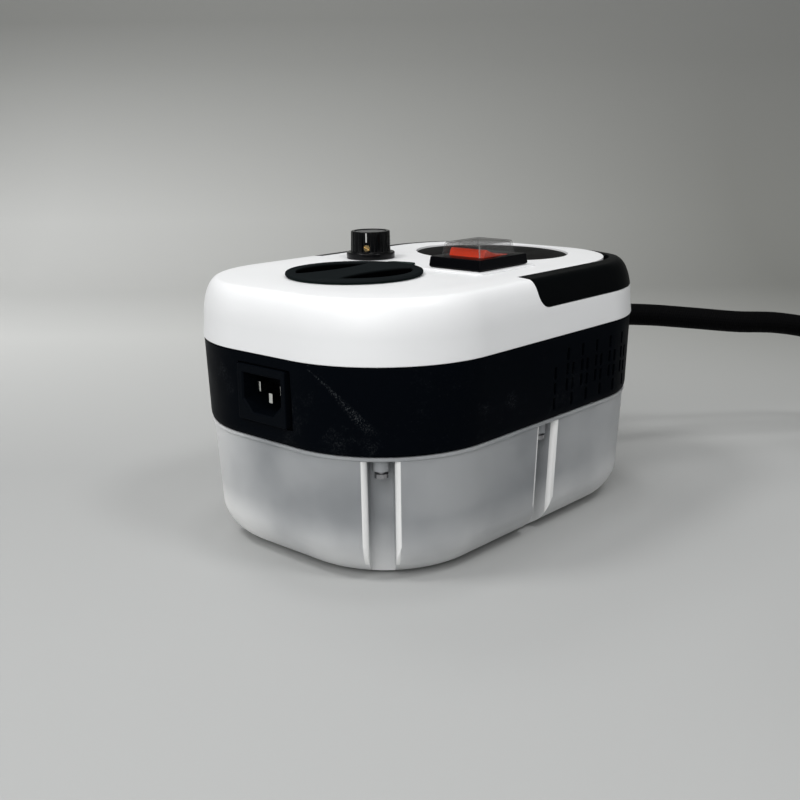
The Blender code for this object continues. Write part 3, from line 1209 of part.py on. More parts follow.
def water_pump():
    """A solenoid pump on its bracket, lying across the body: coil, body with two barbs, bracket."""
    half = PUMP_LENGTH / 2
    tip = half + BARB_LENGTH
    profile = [(0, tip), (BARB_RADIUS, tip), (BARB_RADIUS, half), (PUMP_RADIUS, half), (PUMP_RADIUS, -half),
               (BARB_RADIUS, -half), (BARB_RADIUS, -tip), (0, -tip)]
    turned("pump_body", profile, (PUMP_X, PUMP_Y, PUMP_Z), PARTS, STEEL, direction=(0, 1, 0))
    coil = block("pump_coil",
                 (PUMP_X - PUMP_COIL_WIDTH / 2, PUMP_Y - PUMP_COIL_LENGTH / 2, PUMP_Z - PUMP_COIL_HEIGHT / 2),
                 (PUMP_X + PUMP_COIL_WIDTH / 2, PUMP_Y + PUMP_COIL_LENGTH / 2, PUMP_Z + PUMP_COIL_HEIGHT / 2),
                 PARTS, COIL_TAPE, edge=PUMP_COIL_EDGE)
    bore = [((PUMP_X, PUMP_Y - half, PUMP_Z), (PUMP_X, PUMP_Y + half, PUMP_Z))]
    cut(coil, many_rods("coil_bore", bore, PUMP_RADIUS + GAP, CUTTERS))
    low = LID_TOP + GAP
    ear = PUMP_COIL_LENGTH / 2 + GAP
    reach = ear + BRACKET_THICKNESS
    half_x = BRACKET_WIDTH / 2
    floor_top = low + BRACKET_THICKNESS
    bracket = block("pump_bracket", (PUMP_X - half_x, PUMP_Y - reach, low),
                    (PUMP_X + half_x, PUMP_Y + reach, floor_top), PARTS, STEEL)
    ears = []
    for side in (-1, 1):
        near, far = sorted((PUMP_Y + side * ear, PUMP_Y + side * reach))
        ears.append(((PUMP_X - half_x, near, floor_top - BRACKET_THICKNESS / 2),
                     (PUMP_X + half_x, far, PUMP_Z + PUMP_COIL_HEIGHT / 2)))
    join(bracket, many_blocks("bracket_ears", ears, CUTTERS))
    cut(bracket, many_rods("bracket_bores", bore, PUMP_RADIUS + GAP, CUTTERS))


def bent(points, radius):
    """A route whose inner corners are rounded by radius, close enough for a soft tube."""
    route = [Vector(point) for point in points]
    made = [route[0]]
    for before, corner, after in zip(route, route[1:], route[2:]):
        start = corner + (before - corner).normalized() * radius
        end = corner + (after - corner).normalized() * radius
        for step in range(SMALL_STEPS + 1):
            share = step / SMALL_STEPS
            made.append(start * (1 - share) ** 2 + 2 * corner * share * (1 - share) + end * share ** 2)
    return made + [route[-1]]


def soft_tubes():
    """From the filter in the tank to the pump, and from the pump to the heater."""
    start_y = PUMP_Y - PUMP_LENGTH / 2 - BARB_LENGTH - GAP
    foot = TANK_WALL + FILTER_CLEARANCE
    top = foot + FILTER_HEIGHT + GAP
    down = [(PUMP_X, start_y, PUMP_Z), (PUMP_X, SUCTION_Y, PUMP_Z), (PUMP_X, SUCTION_Y, top)]
    tube("suction_tube", bent(down, min(TUBE_BEND, start_y - SUCTION_Y)), TUBE_RADIUS, 2, SILICONE)
    body = [(0, FILTER_HEIGHT), (FILTER_RADIUS, FILTER_HEIGHT), (FILTER_RADIUS, 0), (0, 0)]
    turned("suction_filter", body, (PUMP_X, SUCTION_Y, foot), PARTS, SILICONE)
    pump_end = PUMP_Y + PUMP_LENGTH / 2 + BARB_LENGTH + GAP
    heater_end = HEATER_WIDTH / 2 + GAP + INLET_FITTING_LENGTH + BARB_LENGTH + GAP
    turn_y = heater_end + TUBE_BEND / 3
    across = [(PUMP_X, pump_end, PUMP_Z), (PUMP_X, turn_y, PUMP_Z), (HEATER_X, turn_y, PUMP_Z),
              (HEATER_X, heater_end, PUMP_Z)]
    tube("feed_tube", bent(across, TUBE_BEND / 3), TUBE_RADIUS, 2, SILICONE)


def control_board():
    low = LID_TOP + GAP
    half_y = BOARD_WIDTH / 2 - GAP
    half_x = BOARD_THICKNESS / 2
    board = block("control_board", (BOARD_X - half_x, -half_y, low),
                  (BOARD_X + half_x, half_y, low + BOARD_HEIGHT), PARTS, BOARD_GREEN)
    middle = low + BOARD_HEIGHT * 2 / 3
    chips = []
    for number in (-1, 0, 1):
        y = number * CHIP_SPREAD
        chips.append(((BOARD_X, y - CHIP_WIDTH / 2, middle - CHIP_LENGTH / 2),
                      (BOARD_X + half_x + CHIP_DEPTH / 2, y + CHIP_WIDTH / 2, middle + CHIP_LENGTH / 2)))
    join(board, many_blocks("board_parts", chips, CUTTERS))


# Hose

def hose_gland():
    """The strain relief in the shell's end wall, bored for the hose outside and the steam pipe inside."""
    flange = GLAND_FLANGE_THICKNESS
    seat = GLAND_LENGTH - GLAND_SEAT_DEPTH
    hose_bore = HOSE_RADIUS + GAP
    steam_bore = PIPE_RADIUS + GAP
    inner = -GLAND_STUB_LENGTH
    profile = [(hose_bore, GLAND_LENGTH), (hose_bore + GLAND_SLEEVE_TIP_WALL, GLAND_LENGTH),
               (hose_bore + GLAND_SLEEVE_WALL, flange), (GLAND_FLANGE_RADIUS, flange),
               (GLAND_FLANGE_RADIUS, 0), (GLAND_STUB_RADIUS, 0), (GLAND_STUB_RADIUS, inner),
               (steam_bore, inner), (steam_bore, seat), (hose_bore, seat)]
    turned("hose_gland", profile, (HALF_LENGTH + GAP, 0, OUTLET_Z), PARTS, BLACK, direction=(1, 0, 0),
           steps=16)


def coil_point(angle):
    """A point on the hose's coil: in on the upper layer, down in the middle half turn, out on the floor."""
    total = COIL_START_ANGLE - COIL_END_ANGLE
    gone = COIL_START_ANGLE - angle
    inward = min(gone, total - gone) / 360
    radius = COIL_RADIUS - COIL_PITCH * inward
    fall = min(1, max(0, (gone - total / 2) / 180 + 0.5))
    drop = (1 - math.cos(math.pi * fall)) / 2
    height = FLOOR_COIL_Z + COIL_LAYER_PITCH * (1 - drop)
    turn = math.radians(angle)
    return Vector((COIL_X + radius * math.cos(turn), COIL_Y + radius * math.sin(turn), height))


def coil_heading(angle):
    """The way the hose runs at an angle of the coil, clockwise seen from above."""
    turn = math.radians(angle)
    return Vector((math.sin(turn), -math.cos(turn), 0))


def coil_route():
    """The whole coil with a straight diameter of hose at each end."""
    total = COIL_START_ANGLE - COIL_END_ANGLE
    steps = round(total / 360 * COIL_POINTS_PER_TURN)
    points = [coil_point(COIL_START_ANGLE - total * step / steps) for step in range(steps + 1)]
    straight = 2 * HOSE_RADIUS
    start = points[0] - coil_heading(COIL_START_ANGLE) * straight
    end = points[-1] + coil_heading(COIL_END_ANGLE) * straight
    return [start, *points, end]


def least_gap(points, radius):
    """The least distance between the surfaces of stretches that don't follow each other."""
    apart = round(COIL_POINTS_PER_TURN / 3)
    least = None
    for index, point in enumerate(points):
        for other in range(index + apart, len(points) - 1):
            start, end = points[other], points[other + 1]
            along = end - start
            share = min(1, max(0, (point - start).dot(along) / along.length_squared))
            distance = (start + along * share - point).length - 2 * radius
            least = distance if least is None else min(least, distance)
    return least


def steam_hose():
    coil = coil_route()
    print("hose coil, least gap to itself (mm):", round(least_gap(coil, HOSE_RADIUS) * 1000, 2))
    heading_in = coil_heading(COIL_START_ANGLE)
    heading_out = coil_heading(COIL_END_ANGLE)
    straight = 2 * HOSE_RADIUS
    exit_point = Vector((HOSE_START_X, 0, OUTLET_Z))
    run_end = coil[0] - heading_in * GAP
    run = [exit_point, exit_point + Vector((straight, 0, 0)), *HOSE_ROUTE,
           run_end - heading_in * straight, run_end]
    tube("steam_hose_run", smooth_route(run, ROUTE_STEP), HOSE_RADIUS, 3, HOSE_BRAID)
    tube("steam_hose_coil", coil, HOSE_RADIUS, 1, HOSE_BRAID)
    tail_start = coil[-1] + heading_out * GAP
    tail_end = Vector((GUN_REAR_X - SLEEVE_GRIP + GAP, GUN_Y, GUN_Z))
    mouth = tail_end + Vector((SLEEVE_LENGTH, 0, 0))
    tail = [tail_start, tail_start + heading_out * straight, mouth + Vector((straight, 0, 0)), mouth,
            tail_end]
    tube("steam_hose_tail", smooth_route(tail, straight), HOSE_RADIUS, 2, HOSE_BRAID)


# Steam gun

def gun_sections(inset):
    """Rings along the gun from its rear to its nose, moved in by inset."""
    rear, front = GUN_SHOULDER_SHARES
    nose = GUN_LENGTH - GUN_NOSE_LENGTH
    stations = [(0, GUN_HALF_WIDTH * GUN_REAR_SHARE, GUN_HALF_HEIGHT * GUN_REAR_SHARE),
                (GUN_LENGTH * rear, GUN_HALF_WIDTH, GUN_HALF_HEIGHT),
                (GUN_LENGTH * front, GUN_HALF_WIDTH, GUN_HALF_HEIGHT),
                (nose, GUN_NOSE_RADIUS, GUN_NOSE_RADIUS),
                (GUN_LENGTH, GUN_NOSE_RADIUS, GUN_NOSE_RADIUS)]
    rings = []
    for number, (along, half_y, half_z) in enumerate(stations):
        corner = min(half_y, half_z) * (GUN_CORNER_SHARE if number < 3 else 0.98) - inset
        outline = rounded_outline(half_y - inset, half_z - inset, corner, steps=4)
        if inset and number == 0:
            along = inset
        if inset and number == len(stations) - 1:
            along = GUN_LENGTH - inset
        rings.append([(GUN_REAR_X - along, GUN_Y + y, GUN_Z + z) for y, z in outline])
    return rings


def gun_line(name, radius, start, end, segments=ROUND_STEPS):
    """A rod on the gun's own axis, between two distances from its rear."""
    ends = [((GUN_REAR_X - start, GUN_Y, GUN_Z), (GUN_REAR_X - end, GUN_Y, GUN_Z))]
    return many_rods(name, ends, radius, CUTTERS, segments)


def trigger_place():
    """The trigger pin's distance from the gun's rear and its height."""
    return GUN_LENGTH - TRIGGER_FRONT, GUN_Z + GUN_HALF_HEIGHT - TRIGGER_BOSS_RADIUS - GUN_WALL


def gun_halves():
    """Two shells that meet on the gun's upright middle plane."""
    pin_along, pin_z = trigger_place()
    slot_half = TRIGGER_WIDTH / 2 + GAP
    for side, label in ((-1, "left"), (1, "right")):
        half = loft(f"gun_shell_{label}", gun_sections(0), PARTS, BLACK)
        cut(half, loft(f"gun_hollow_{label}", gun_sections(GUN_WALL), CUTTERS))
        cut(half, gun_line(f"sleeve_hole_{label}", HOSE_RADIUS + SLEEVE_WALL + 2 * GAP, -OVERRUN,
                           GUN_WALL + OVERRUN, segments=24))
        cut(half, gun_line(f"nozzle_hole_{label}", NOZZLE_RADIUS + GAP, GUN_LENGTH - GUN_WALL - OVERRUN,
                           GUN_LENGTH + OVERRUN))
        rear = GUN_REAR_X - pin_along + TRIGGER_LENGTH + 2 * GAP
        front = GUN_REAR_X - pin_along - TRIGGER_BOSS_RADIUS - 2 * GAP
        cut(half, block(f"trigger_slot_{label}", (front, GUN_Y - slot_half, GUN_Z + GUN_HALF_HEIGHT / 2),
                        (rear, GUN_Y + slot_half, GUN_Z + GUN_HALF_HEIGHT + OVERRUN), CUTTERS))
        pin_x = GUN_REAR_X - pin_along
        pin_line = [((pin_x, GUN_Y - GUN_HALF_WIDTH * 2, pin_z), (pin_x, GUN_Y + GUN_HALF_WIDTH * 2, pin_z))]
        cut(half, many_rods(f"trigger_pin_hole_{label}", pin_line, TRIGGER_PIN_RADIUS + GAP, CUTTERS,
                            segments=12))
        keep_out = sorted((GUN_Y + side * GAP / 2, GUN_Y - side * GUN_HALF_WIDTH * 2))
        cut(half, block(f"gun_split_{label}", (GUN_NOSE_X - OVERRUN, keep_out[0], -OVERRUN),
                        (GUN_REAR_X + OVERRUN, keep_out[1], 2 * GUN_HALF_HEIGHT + 2 * OVERRUN), CUTTERS))


def gun_trigger():
    """A thumb lever, hinged at its front end and held up by the valve's spring."""
    pin_along, pin_z = trigger_place()
    pin_x = GUN_REAR_X - pin_along
    radius = TRIGGER_BOSS_RADIUS
    top = GUN_Z + GUN_HALF_HEIGHT + TRIGGER_RISE
    rear = pin_x + TRIGGER_LENGTH
    side = arc(pin_x, pin_z, radius, 270, 110, FILLET_STEPS)
    side += [(pin_x + TRIGGER_LENGTH / 2, top), (rear, top - TRIGGER_RISE / 3),
             (rear, top - TRIGGER_RISE / 3 - TRIGGER_THICKNESS),
             (pin_x + TRIGGER_LENGTH / 2, top - TRIGGER_THICKNESS)]
    trigger = prism("gun_trigger", in_side_view(side, GUN_Y - TRIGGER_WIDTH / 2), (0, TRIGGER_WIDTH, 0),
                    PARTS, GREY_PLASTIC, origin=(pin_x, GUN_Y, pin_z))
    reach = TRIGGER_WIDTH
    cut(trigger, many_rods("trigger_bore", [((pin_x, GUN_Y - reach, pin_z), (pin_x, GUN_Y + reach, pin_z))],
                           TRIGGER_PIN_RADIUS + GAP, CUTTERS, segments=12))
    half = GUN_HALF_WIDTH - GUN_WALL / 2
    pin = [(0, half), (TRIGGER_PIN_RADIUS, half), (TRIGGER_PIN_RADIUS, -half), (0, -half)]
    turned("trigger_pin", pin, (pin_x, GUN_Y, pin_z), PARTS, STEEL, direction=(0, 1, 0), steps=12)


def gun_fittings():
    """Rear sleeve, steam tube, valve, nozzle and the collar that holds the halves together."""
    hose_bore = HOSE_RADIUS + GAP
    outer = HOSE_RADIUS + SLEEVE_WALL + GAP
    tip = SLEEVE_LENGTH
    tube_bore = PIPE_RADIUS + GAP
    seat = -GUN_WALL - SLEEVE_COLLAR_LENGTH
    grip = -SLEEVE_GRIP
    collar = outer + SLEEVE_COLLAR
    neck = GUN_WALL + GAP
    sleeve = [(hose_bore, tip - SLEEVE_GRIP), (hose_bore + SLEEVE_TIP_WALL, tip - SLEEVE_GRIP),
              (outer, 0), (outer, -neck), (collar, -neck), (collar, -neck - SLEEVE_COLLAR_LENGTH),
              (outer, -neck - SLEEVE_COLLAR_LENGTH), (outer, grip - SLEEVE_COLLAR_LENGTH),
              (tube_bore, grip - SLEEVE_COLLAR_LENGTH), (tube_bore, grip), (hose_bore, grip)]
    turned("gun_sleeve", sleeve, (GUN_REAR_X, GUN_Y, GUN_Z), PARTS, RUBBER, direction=(1, 0, 0), steps=16)
    pin_along, _ = trigger_place()
    valve_rear = pin_along - TRIGGER_LENGTH / 2 - VALVE_LENGTH / 2
    valve_front = valve_rear + VALVE_LENGTH
    half_y = GUN_HALF_WIDTH - GUN_WALL - GAP
    low = GUN_Z - VALVE_HEIGHT / 2
    block("gun_valve", (GUN_REAR_X - valve_front, GUN_Y - half_y, low),
          (GUN_REAR_X - valve_rear, GUN_Y + half_y, low + VALVE_HEIGHT), PARTS, BLACK)
    start = SLEEVE_GRIP + GAP
    length = valve_rear - GAP - start
    pipe = [(BARB_RADIUS, length), (PIPE_RADIUS, length), (PIPE_RADIUS, 0), (BARB_RADIUS, 0)]
    turned("gun_steam_tube", pipe, (GUN_REAR_X - start, GUN_Y, GUN_Z), PARTS, BRASS, direction=(-1, 0, 0))
    nose = GUN_LENGTH - valve_front - GAP
    reach = nose + NOZZLE_REACH
    nozzle = [(NOZZLE_BORE, reach), (NOZZLE_TIP_RADIUS, reach), (NOZZLE_RADIUS, reach - NOZZLE_REACH / 2),
              (NOZZLE_RADIUS, 0), (NOZZLE_BORE, 0)]
    turned("gun_nozzle", nozzle, (GUN_REAR_X - valve_front - GAP, GUN_Y, GUN_Z), PARTS, BRASS,
           direction=(-1, 0, 0))
    bore = GUN_NOSE_RADIUS + GAP
    ring = [(bore, COLLAR_LENGTH), (bore + COLLAR_WALL, COLLAR_LENGTH), (bore + COLLAR_WALL, 0), (bore, 0)]
    turned("gun_collar", ring, (GUN_NOSE_X + COLLAR_LENGTH + GAP, GUN_Y, GUN_Z), PARTS, GREY_PLASTIC,
           direction=(-1, 0, 0), steps=20)


def build():
    water_tank()
    tank_screws()
    tank_gasket()
    tank_lid()
    middle_shell()
    mains_inlet()
    top_cover()
    top_plate()
    carry_handle()
    handle_pins()
    filler_cap()
    cap_seal()
    filler_neck()
    steam_knob()
    knob_set_screw()
    potentiometer()
    switch_housing()
    rocker_button()
    switch_cover()
    heater_group()
    water_pump()
    soft_tubes()
    control_board()
    hose_gland()
    steam_hose()
    gun_halves()
    gun_trigger()
    gun_fittings()


build()
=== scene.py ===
"""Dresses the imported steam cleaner: fine shells, materials, the floor, the lamps and the camera.

Lengths are in metres and angles in degrees, in the CAD's frame.
"""
import json
import math

import bmesh
import bpy
from mathutils import Matrix, Vector


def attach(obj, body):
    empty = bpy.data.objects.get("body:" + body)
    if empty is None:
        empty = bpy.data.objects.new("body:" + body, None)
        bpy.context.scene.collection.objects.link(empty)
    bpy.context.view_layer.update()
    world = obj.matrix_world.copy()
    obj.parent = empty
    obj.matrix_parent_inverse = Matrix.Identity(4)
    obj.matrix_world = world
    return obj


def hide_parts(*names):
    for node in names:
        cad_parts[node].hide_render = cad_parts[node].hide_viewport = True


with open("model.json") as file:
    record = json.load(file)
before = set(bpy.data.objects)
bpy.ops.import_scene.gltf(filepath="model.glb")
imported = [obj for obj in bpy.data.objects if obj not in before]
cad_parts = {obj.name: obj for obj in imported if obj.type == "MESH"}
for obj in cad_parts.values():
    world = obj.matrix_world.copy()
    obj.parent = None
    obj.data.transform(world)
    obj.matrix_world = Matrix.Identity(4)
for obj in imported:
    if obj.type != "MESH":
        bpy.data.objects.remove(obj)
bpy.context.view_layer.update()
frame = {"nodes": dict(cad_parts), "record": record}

# Sizes: the CAD's own, except where the photo shows the surface a little apart from them
GAP = 0.0003
OVERRUN = 0.002
BODY_LENGTH = 0.200
BODY_WIDTH = 0.141
CORNER_RADIUS = 0.053
TANK_HEIGHT = 0.054
SHELL_HEIGHT = 0.036
COVER_HEIGHT = 0.0258
TANK_INSET = 0.0010
TANK_DRAFT_SHARE = 0.055
TANK_WALL = 0.0022
TANK_FILLET = 0.0175
RIM_INSET = 0.0005
RIM_THICKNESS = 0.0016
FLUTE_MOUTH_WIDTH = 0.0108
FLUTE_BACK_WIDTH = 0.0100
FLUTE_DEPTH = 0.009
FLUTE_MOUTH_RADIUS = 0.0024
FLUTE_BACK_RADIUS = 0.0018
FLUTE_ANGLE = 40
TANK_BOSS_RADIUS = 0.00325
TANK_BOSS_HEIGHT = 0.005
SCREW_RADIUS = 0.0015
SCREW_INSET = 0.0065
GASKET_THICKNESS = 0.0007
LID_THICKNESS = 0.0024
SHELL_WALL = 0.0022
SHELL_LIP_INSET = 0.001
SHELL_LIP_HEIGHT = 0.0045
BAND_FLARE = 0.0011
SHELL_BOSS_RADIUS = 0.0045
SHELL_BOSS_HEIGHT = 0.012
SHELL_SCREW_DEPTH = 0.0093
VENT_WIDTH = 0.002
VENT_HEIGHT = 0.0058
VENT_CORNER = 0.0008
VENT_PAIRS = 5
VENT_PAIR_START = 0.0116
VENT_PAIR_PITCH = 0.0114
VENT_COLUMN_STEP = 0.0044
VENT_LONE_X = 0.0024
VENT_TOP_DEPTH = 0.0091
VENT_ROW_PITCH = 0.0137
VENT_STAGGER = 0.0072
VENT_DEPTH = 0.0062
DIMPLE_MARGIN = 0.0012
DIMPLE_DEPTH = 0.0009
INLET_Z = 0.0732
INLET_FRAME_WIDTH = 0.0288
INLET_FRAME_SHIFT = 0.0006
INLET_POCKET_WIDTH = 0.0316
INLET_POCKET_SHIFT = -0.0005
INLET_POCKET_MARGIN = 0.0006
INLET_FRAME_HEIGHT = 0.0236
INLET_FRAME_THICKNESS = 0.0032
INLET_PROUD = 0.0017
INLET_BODY_WIDTH = 0.027
INLET_BODY_HEIGHT = 0.0198
INLET_DEPTH = 0.0245
INLET_SOCKET_WIDTH = 0.0225
INLET_SOCKET_SHIFT = 0.0004
INLET_SOCKET_HEIGHT = 0.016
INLET_SOCKET_DEPTH = 0.0167
INLET_SOCKET_CHAMFER = 0.0052
INLET_SOCKET_BEVEL = 0.0006
INLET_FRAME_CORNER = 0.001
INLET_BLOCK_CORNER = 0.0006
INLET_PAD_DEPTH = 0.004
INLET_HOLE_DEPTH = 0.006
BLADE_SPOTS = ((0.007, 0.002), (-0.007, 0.002), (0, -0.002))
BLADE_SLOT_HALF_WIDTH = 0.0013
BLADE_SLOT_HALF_HEIGHT = 0.0023
BLADE_SLOT_REACH = 0.03
COVER_WALL = 0.0022
COVER_DRAFT_SHARE = 0.075
COVER_FLARE = 0.0015
COVER_FILLET_WIDTH = 0.0072
COVER_FILLET_HEIGHT = 0.0177
CROWN_INSET = 0.017
CROWN_DROP = 0.0005
TONGUE_HALF_WIDTH = 0.0584
TONGUE_END = 0.0904
TONGUE_CORNER = 0.045
RECESS_X = 0.0535
RECESS_Y = 0.0035
RECESS_HALF_LENGTH = 0.0325
RECESS_HALF_WIDTH = 0.040
RECESS_DEPTH = 0.0018
PLATE_THICKNESS = 0.0005
PIVOT_X = -0.003
PIVOT_DROP = 0.0058
ARM_RADIUS = 0.0064
ARM_CORNER_REACH = 0.0012
ARM_POCKET_WIDTH = 0.0079
PIN_BOSS_RADIUS = 0.0045
PIN_BOSS_LENGTH = 0.0065
PIN_HOLE_RADIUS = 0.0023
PIN_HOLE_DEPTH = 0.0085
PIN_ARM_DEPTH = 0.0066
HANDLE_INNER_END = 0.0915
HANDLE_INNER_CORNER = 0.040
CROSSBAR_DROP = 0.0014
CROSSBAR_SLOPE_START = 0.055
CAP_X = -0.047
CAP_RADIUS = 0.0296
CAP_RISE = 0.0022
CAP_EDGE = 0.0008
CAP_CUP_RADIUS = 0.0265
CAP_RECESS_RADIUS = 0.025
CAP_RECESS_DEPTH = 0.012
CAP_BAR_HALF_WIDTH = 0.0115
CAP_BAR_WAIST = 0.0035
CAP_WAIST_SHARES = (-0.98, -0.8, -0.6, -0.4, -0.2, 0, 0.2, 0.4, 0.6, 0.8, 0.98)
CAP_FLOOR = 0.002
CAP_PLUG_LENGTH = 0.008
CAP_PLUG_RADIUS = 0.0197
CAP_PLUG_WALL = 0.002
SEAL_CLEARANCE = 0.0002
SEAL_THICKNESS = 0.0005
SEAL_RADIUS = 0.029
SEAL_TAB_RADIUS = 0.0415
SEAL_TAB_WIDTH = 0.015
SEAL_TAB_ANGLE = 11
KNOB_X = -0.001
KNOB_Y = 0.034
KNOB_RISE = 0.013
KNOB_SKIRT_RADIUS = 0.0115
KNOB_SKIRT_HEIGHT = 0.0028
KNOB_RADIUS = 0.0095
KNOB_TAPER = 0.0002
KNOB_FLUTES = 20
KNOB_FLUTE_RADIUS = 0.0011
KNOB_FLUTE_OFFSET = 0.0007
KNOB_DISC_RADIUS = 0.0074
KNOB_DISC_THICKNESS = 0.0006
KNOB_DISC_SINK = 0.0004
KNOB_POINTER_ANGLE = 211
KNOB_SETSCREW_RADIUS = 0.0015
KNOB_SETSCREW_RISE = 0.0052
KNOB_SHAFT_HOLE_RADIUS = 0.0029
KNOB_SHAFT_ROOF = 0.0018
POINTER_HALF_WIDTH = 0.0003
POINTER_LOW = 0.0079
POINTER_HIGH = 0.0122
POINTER_DEPTH = 0.0006
POINTER_PROUD = 0.00002
POT_BUSHING_RADIUS = 0.0037
POT_NUT_RADIUS = 0.0056
POT_NUT_HEIGHT = 0.0018
SWITCH_X = 0.003
SWITCH_Y = -0.0283
PAD_LENGTH = 0.0408
PAD_WIDTH = 0.0335
PAD_HEIGHT = 0.0008
PAD_CORNER = 0.0015
PAD_EDGE_WIDTH = 0.0005
PAD_EDGE_DROP = 0.0004
BEZEL_LENGTH = 0.0345
BEZEL_WIDTH = 0.0290
BEZEL_HEIGHT = 0.005
BEZEL_TAPER = 0.0004
BEZEL_CORNER = 0.0006
SWITCH_BODY_DEPTH = 0.021
SWITCH_BODY_MARGIN = 0.0018
SWITCH_BODY_OVERLAP = 0.0025
ROCKER_RADIUS = 0.0090
ROCKER_WIDTH = 0.0194
ROCKER_THROW = 24
ROCKER_FACE_ANGLE = 25
ROCKER_FLANK_ANGLE = 32
ROCKER_DISH = 0.001
ROCKER_FACE_DROP = 0.00006
ROCKER_FACE_SHARE = 0.94
ROCKER_PIVOT_DROP = 0.002
ROCKER_WELL_DEPTH = 0.009
TRUNNION_REACH = 0.0011
TRUNNION_RADIUS = 0.0015
TRUNNION_HOLE_RADIUS = 0.0018
GUARD_LENGTH = 0.0256
GUARD_WIDTH = 0.0214
GUARD_HEIGHT = 0.0058
GUARD_TAPER = 0.0009
GUARD_WALL = 0.0005
GUARD_CORNER = 0.0007
OUTLET_Z = 0.0745
HOSE_RADIUS = 0.006
GLAND_STUB_RADIUS = 0.008
GLAND_STUB_LENGTH = 0.007
GLAND_FLANGE_RADIUS = 0.0115
GLAND_FLANGE_THICKNESS = 0.0028
GLAND_SLEEVE_WALL = 0.003
GLAND_SLEEVE_TIP_WALL = 0.0018
GLAND_SLEEVE_LENGTH = 0.0115
GLAND_SEAT_DEPTH = 0.010
PIPE_RADIUS = 0.003
HOSE_ROUTE = (
    (0.1408, -0.0116, 0.0732),
    (0.1616, -0.0261, 0.0714),
    (0.1809, -0.0428, 0.0687),
    (0.1998, -0.0601, 0.0659),
    (0.2196, -0.0765, 0.0641),
    (0.2392, -0.0922, 0.0585),
    (0.2561, -0.1082, 0.0466),
    (0.2689, -0.1268, 0.0320),
)
COIL_X = 0.215
COIL_Y = -0.188
COIL_RADIUS = 0.0685
COIL_PITCH = 0.0128
COIL_LAYER_PITCH = 0.0126
COIL_START_ANGLE = 12
COIL_END_ANGLE = -820
GUN_REAR_X = 0.100
GUN_Y = -0.250
GUN_Z = 0.016
SLEEVE_LENGTH = 0.030
SLEEVE_GRIP = 0.010
HOSE_STEP = 0.0025

# What follows from them
HALF_LENGTH = BODY_LENGTH / 2
HALF_WIDTH = BODY_WIDTH / 2
TANK_TOP = TANK_HEIGHT - GAP
RIM_LOW = TANK_TOP - RIM_THICKNESS
LID_TOP = TANK_TOP + GAP + GASKET_THICKNESS + GAP + LID_THICKNESS
COVER_LOW = TANK_HEIGHT + SHELL_HEIGHT
COVER_TOP = COVER_LOW + COVER_HEIGHT
COVER_CEILING = COVER_TOP - COVER_WALL
SHELL_TOP = COVER_LOW - GAP
PIVOT_Z = COVER_TOP - PIVOT_DROP
ARM_INNER_Y = TONGUE_HALF_WIDTH + GAP
CAP_TOP = COVER_TOP + CAP_RISE
KNOB_LOW = COVER_TOP + GAP
KNOB_TOP = COVER_TOP + KNOB_RISE
BEZEL_LOW = COVER_TOP + PAD_HEIGHT + GAP
BEZEL_TOP = COVER_TOP + PAD_HEIGHT + BEZEL_HEIGHT
ROCKER_PIVOT_Z = BEZEL_TOP - ROCKER_PIVOT_DROP

# The band's long scuff: its way along the near corner, where it starts and ends on it, and its heights
SCUFF_WAY = (0.6722, -0.7404, 0)
SCUFF_START = -0.0480
SCUFF_END = -0.0206
SCUFF_TOP = 0.0875
SCUFF_LOW = 0.0600

# The floor and backdrop, measured from below the camera
STAGE_HALF_WIDTH = 2.5
STAGE_NEAR = 2.0
STAGE_TURN = 1.15
STAGE_BEND = 0.30
STAGE_TOP = 2.5

# Where a look fades in, from one place to another: the tank's painted glow and painted lit sides, the band's
# scuff of wear, and the backdrop's painted light
PAINTED_GLOW_FADE_HEIGHT = (0.026, 0.002)
PAINTED_LIT_SIDE_FADE_X = (0.0, 0.08)
PAINTED_LIT_SIDE_FADE_Y = (0.0, 0.05)
SCUFF_FADE_X = (-0.070, -0.076)
SCUFF_WIDTHS = (0.0005, 0.0050)
FLOOR_FADE = (0.55, 0.92)
BACKDROP_FADE = (0.90, 1.42)
BACKDROP_FADE_ACROSS = (-0.42, 0.42)
BACKDROP_FADE_HEIGHT = (0.06, 0.30)
BRAID_STRAND = 0.00135
BRAID_HEIGHT = 0.00022

# Smoothness, in steps
CORNER_STEPS = 26
FILLET_STEPS = 14
SMALL_STEPS = 6
WIDE_STEPS = 96


# Camera and lamps. Each lamp has its place, what it points at, its size and its power

CAMERA_PLACE = (-0.3759, -0.3240, 0.1820)
CAMERA_AZIMUTH = -47.77
CAMERA_PITCH = -14.812
CAMERA_ROLL = -0.744
CAMERA_LENS = 48.58
CAMERA_SENSOR = 36
LAMPS = {
    "left": ((0.50, -0.18, 0.90), (0, 0, 0.03), 0.22, 2.9),
    "right": ((-0.39, -0.35, 0.90), (0, 0, 0.03), 0.22, 1.9),
    "overhead": ((0.0, 0.05, 1.20), (0, 0, 0), 0.2, 1.5),
    "back": ((0.32, 0.45, 0.95), (0.34, 0.65, 0), 0.4, 1.5),
    "front": ((0.30, -0.95, 0.70), (0, 0, 0.04), 0.9, 6.2),
}


def make_camera():
    data = bpy.data.cameras.new("camera")
    data.lens = CAMERA_LENS
    data.sensor_width = CAMERA_SENSOR
    data.clip_start = 0.01
    camera = bpy.data.objects.new("camera", data)
    bpy.context.scene.collection.objects.link(camera)
    turn = Matrix.Rotation(math.radians(CAMERA_AZIMUTH), 4, "Z")
    tip = Matrix.Rotation(math.radians(90 + CAMERA_PITCH), 4, "X")
    roll = Matrix.Rotation(math.radians(CAMERA_ROLL), 4, "Z")
    camera.matrix_world = Matrix.Translation(CAMERA_PLACE) @ turn @ tip @ roll
    bpy.context.scene.camera = camera


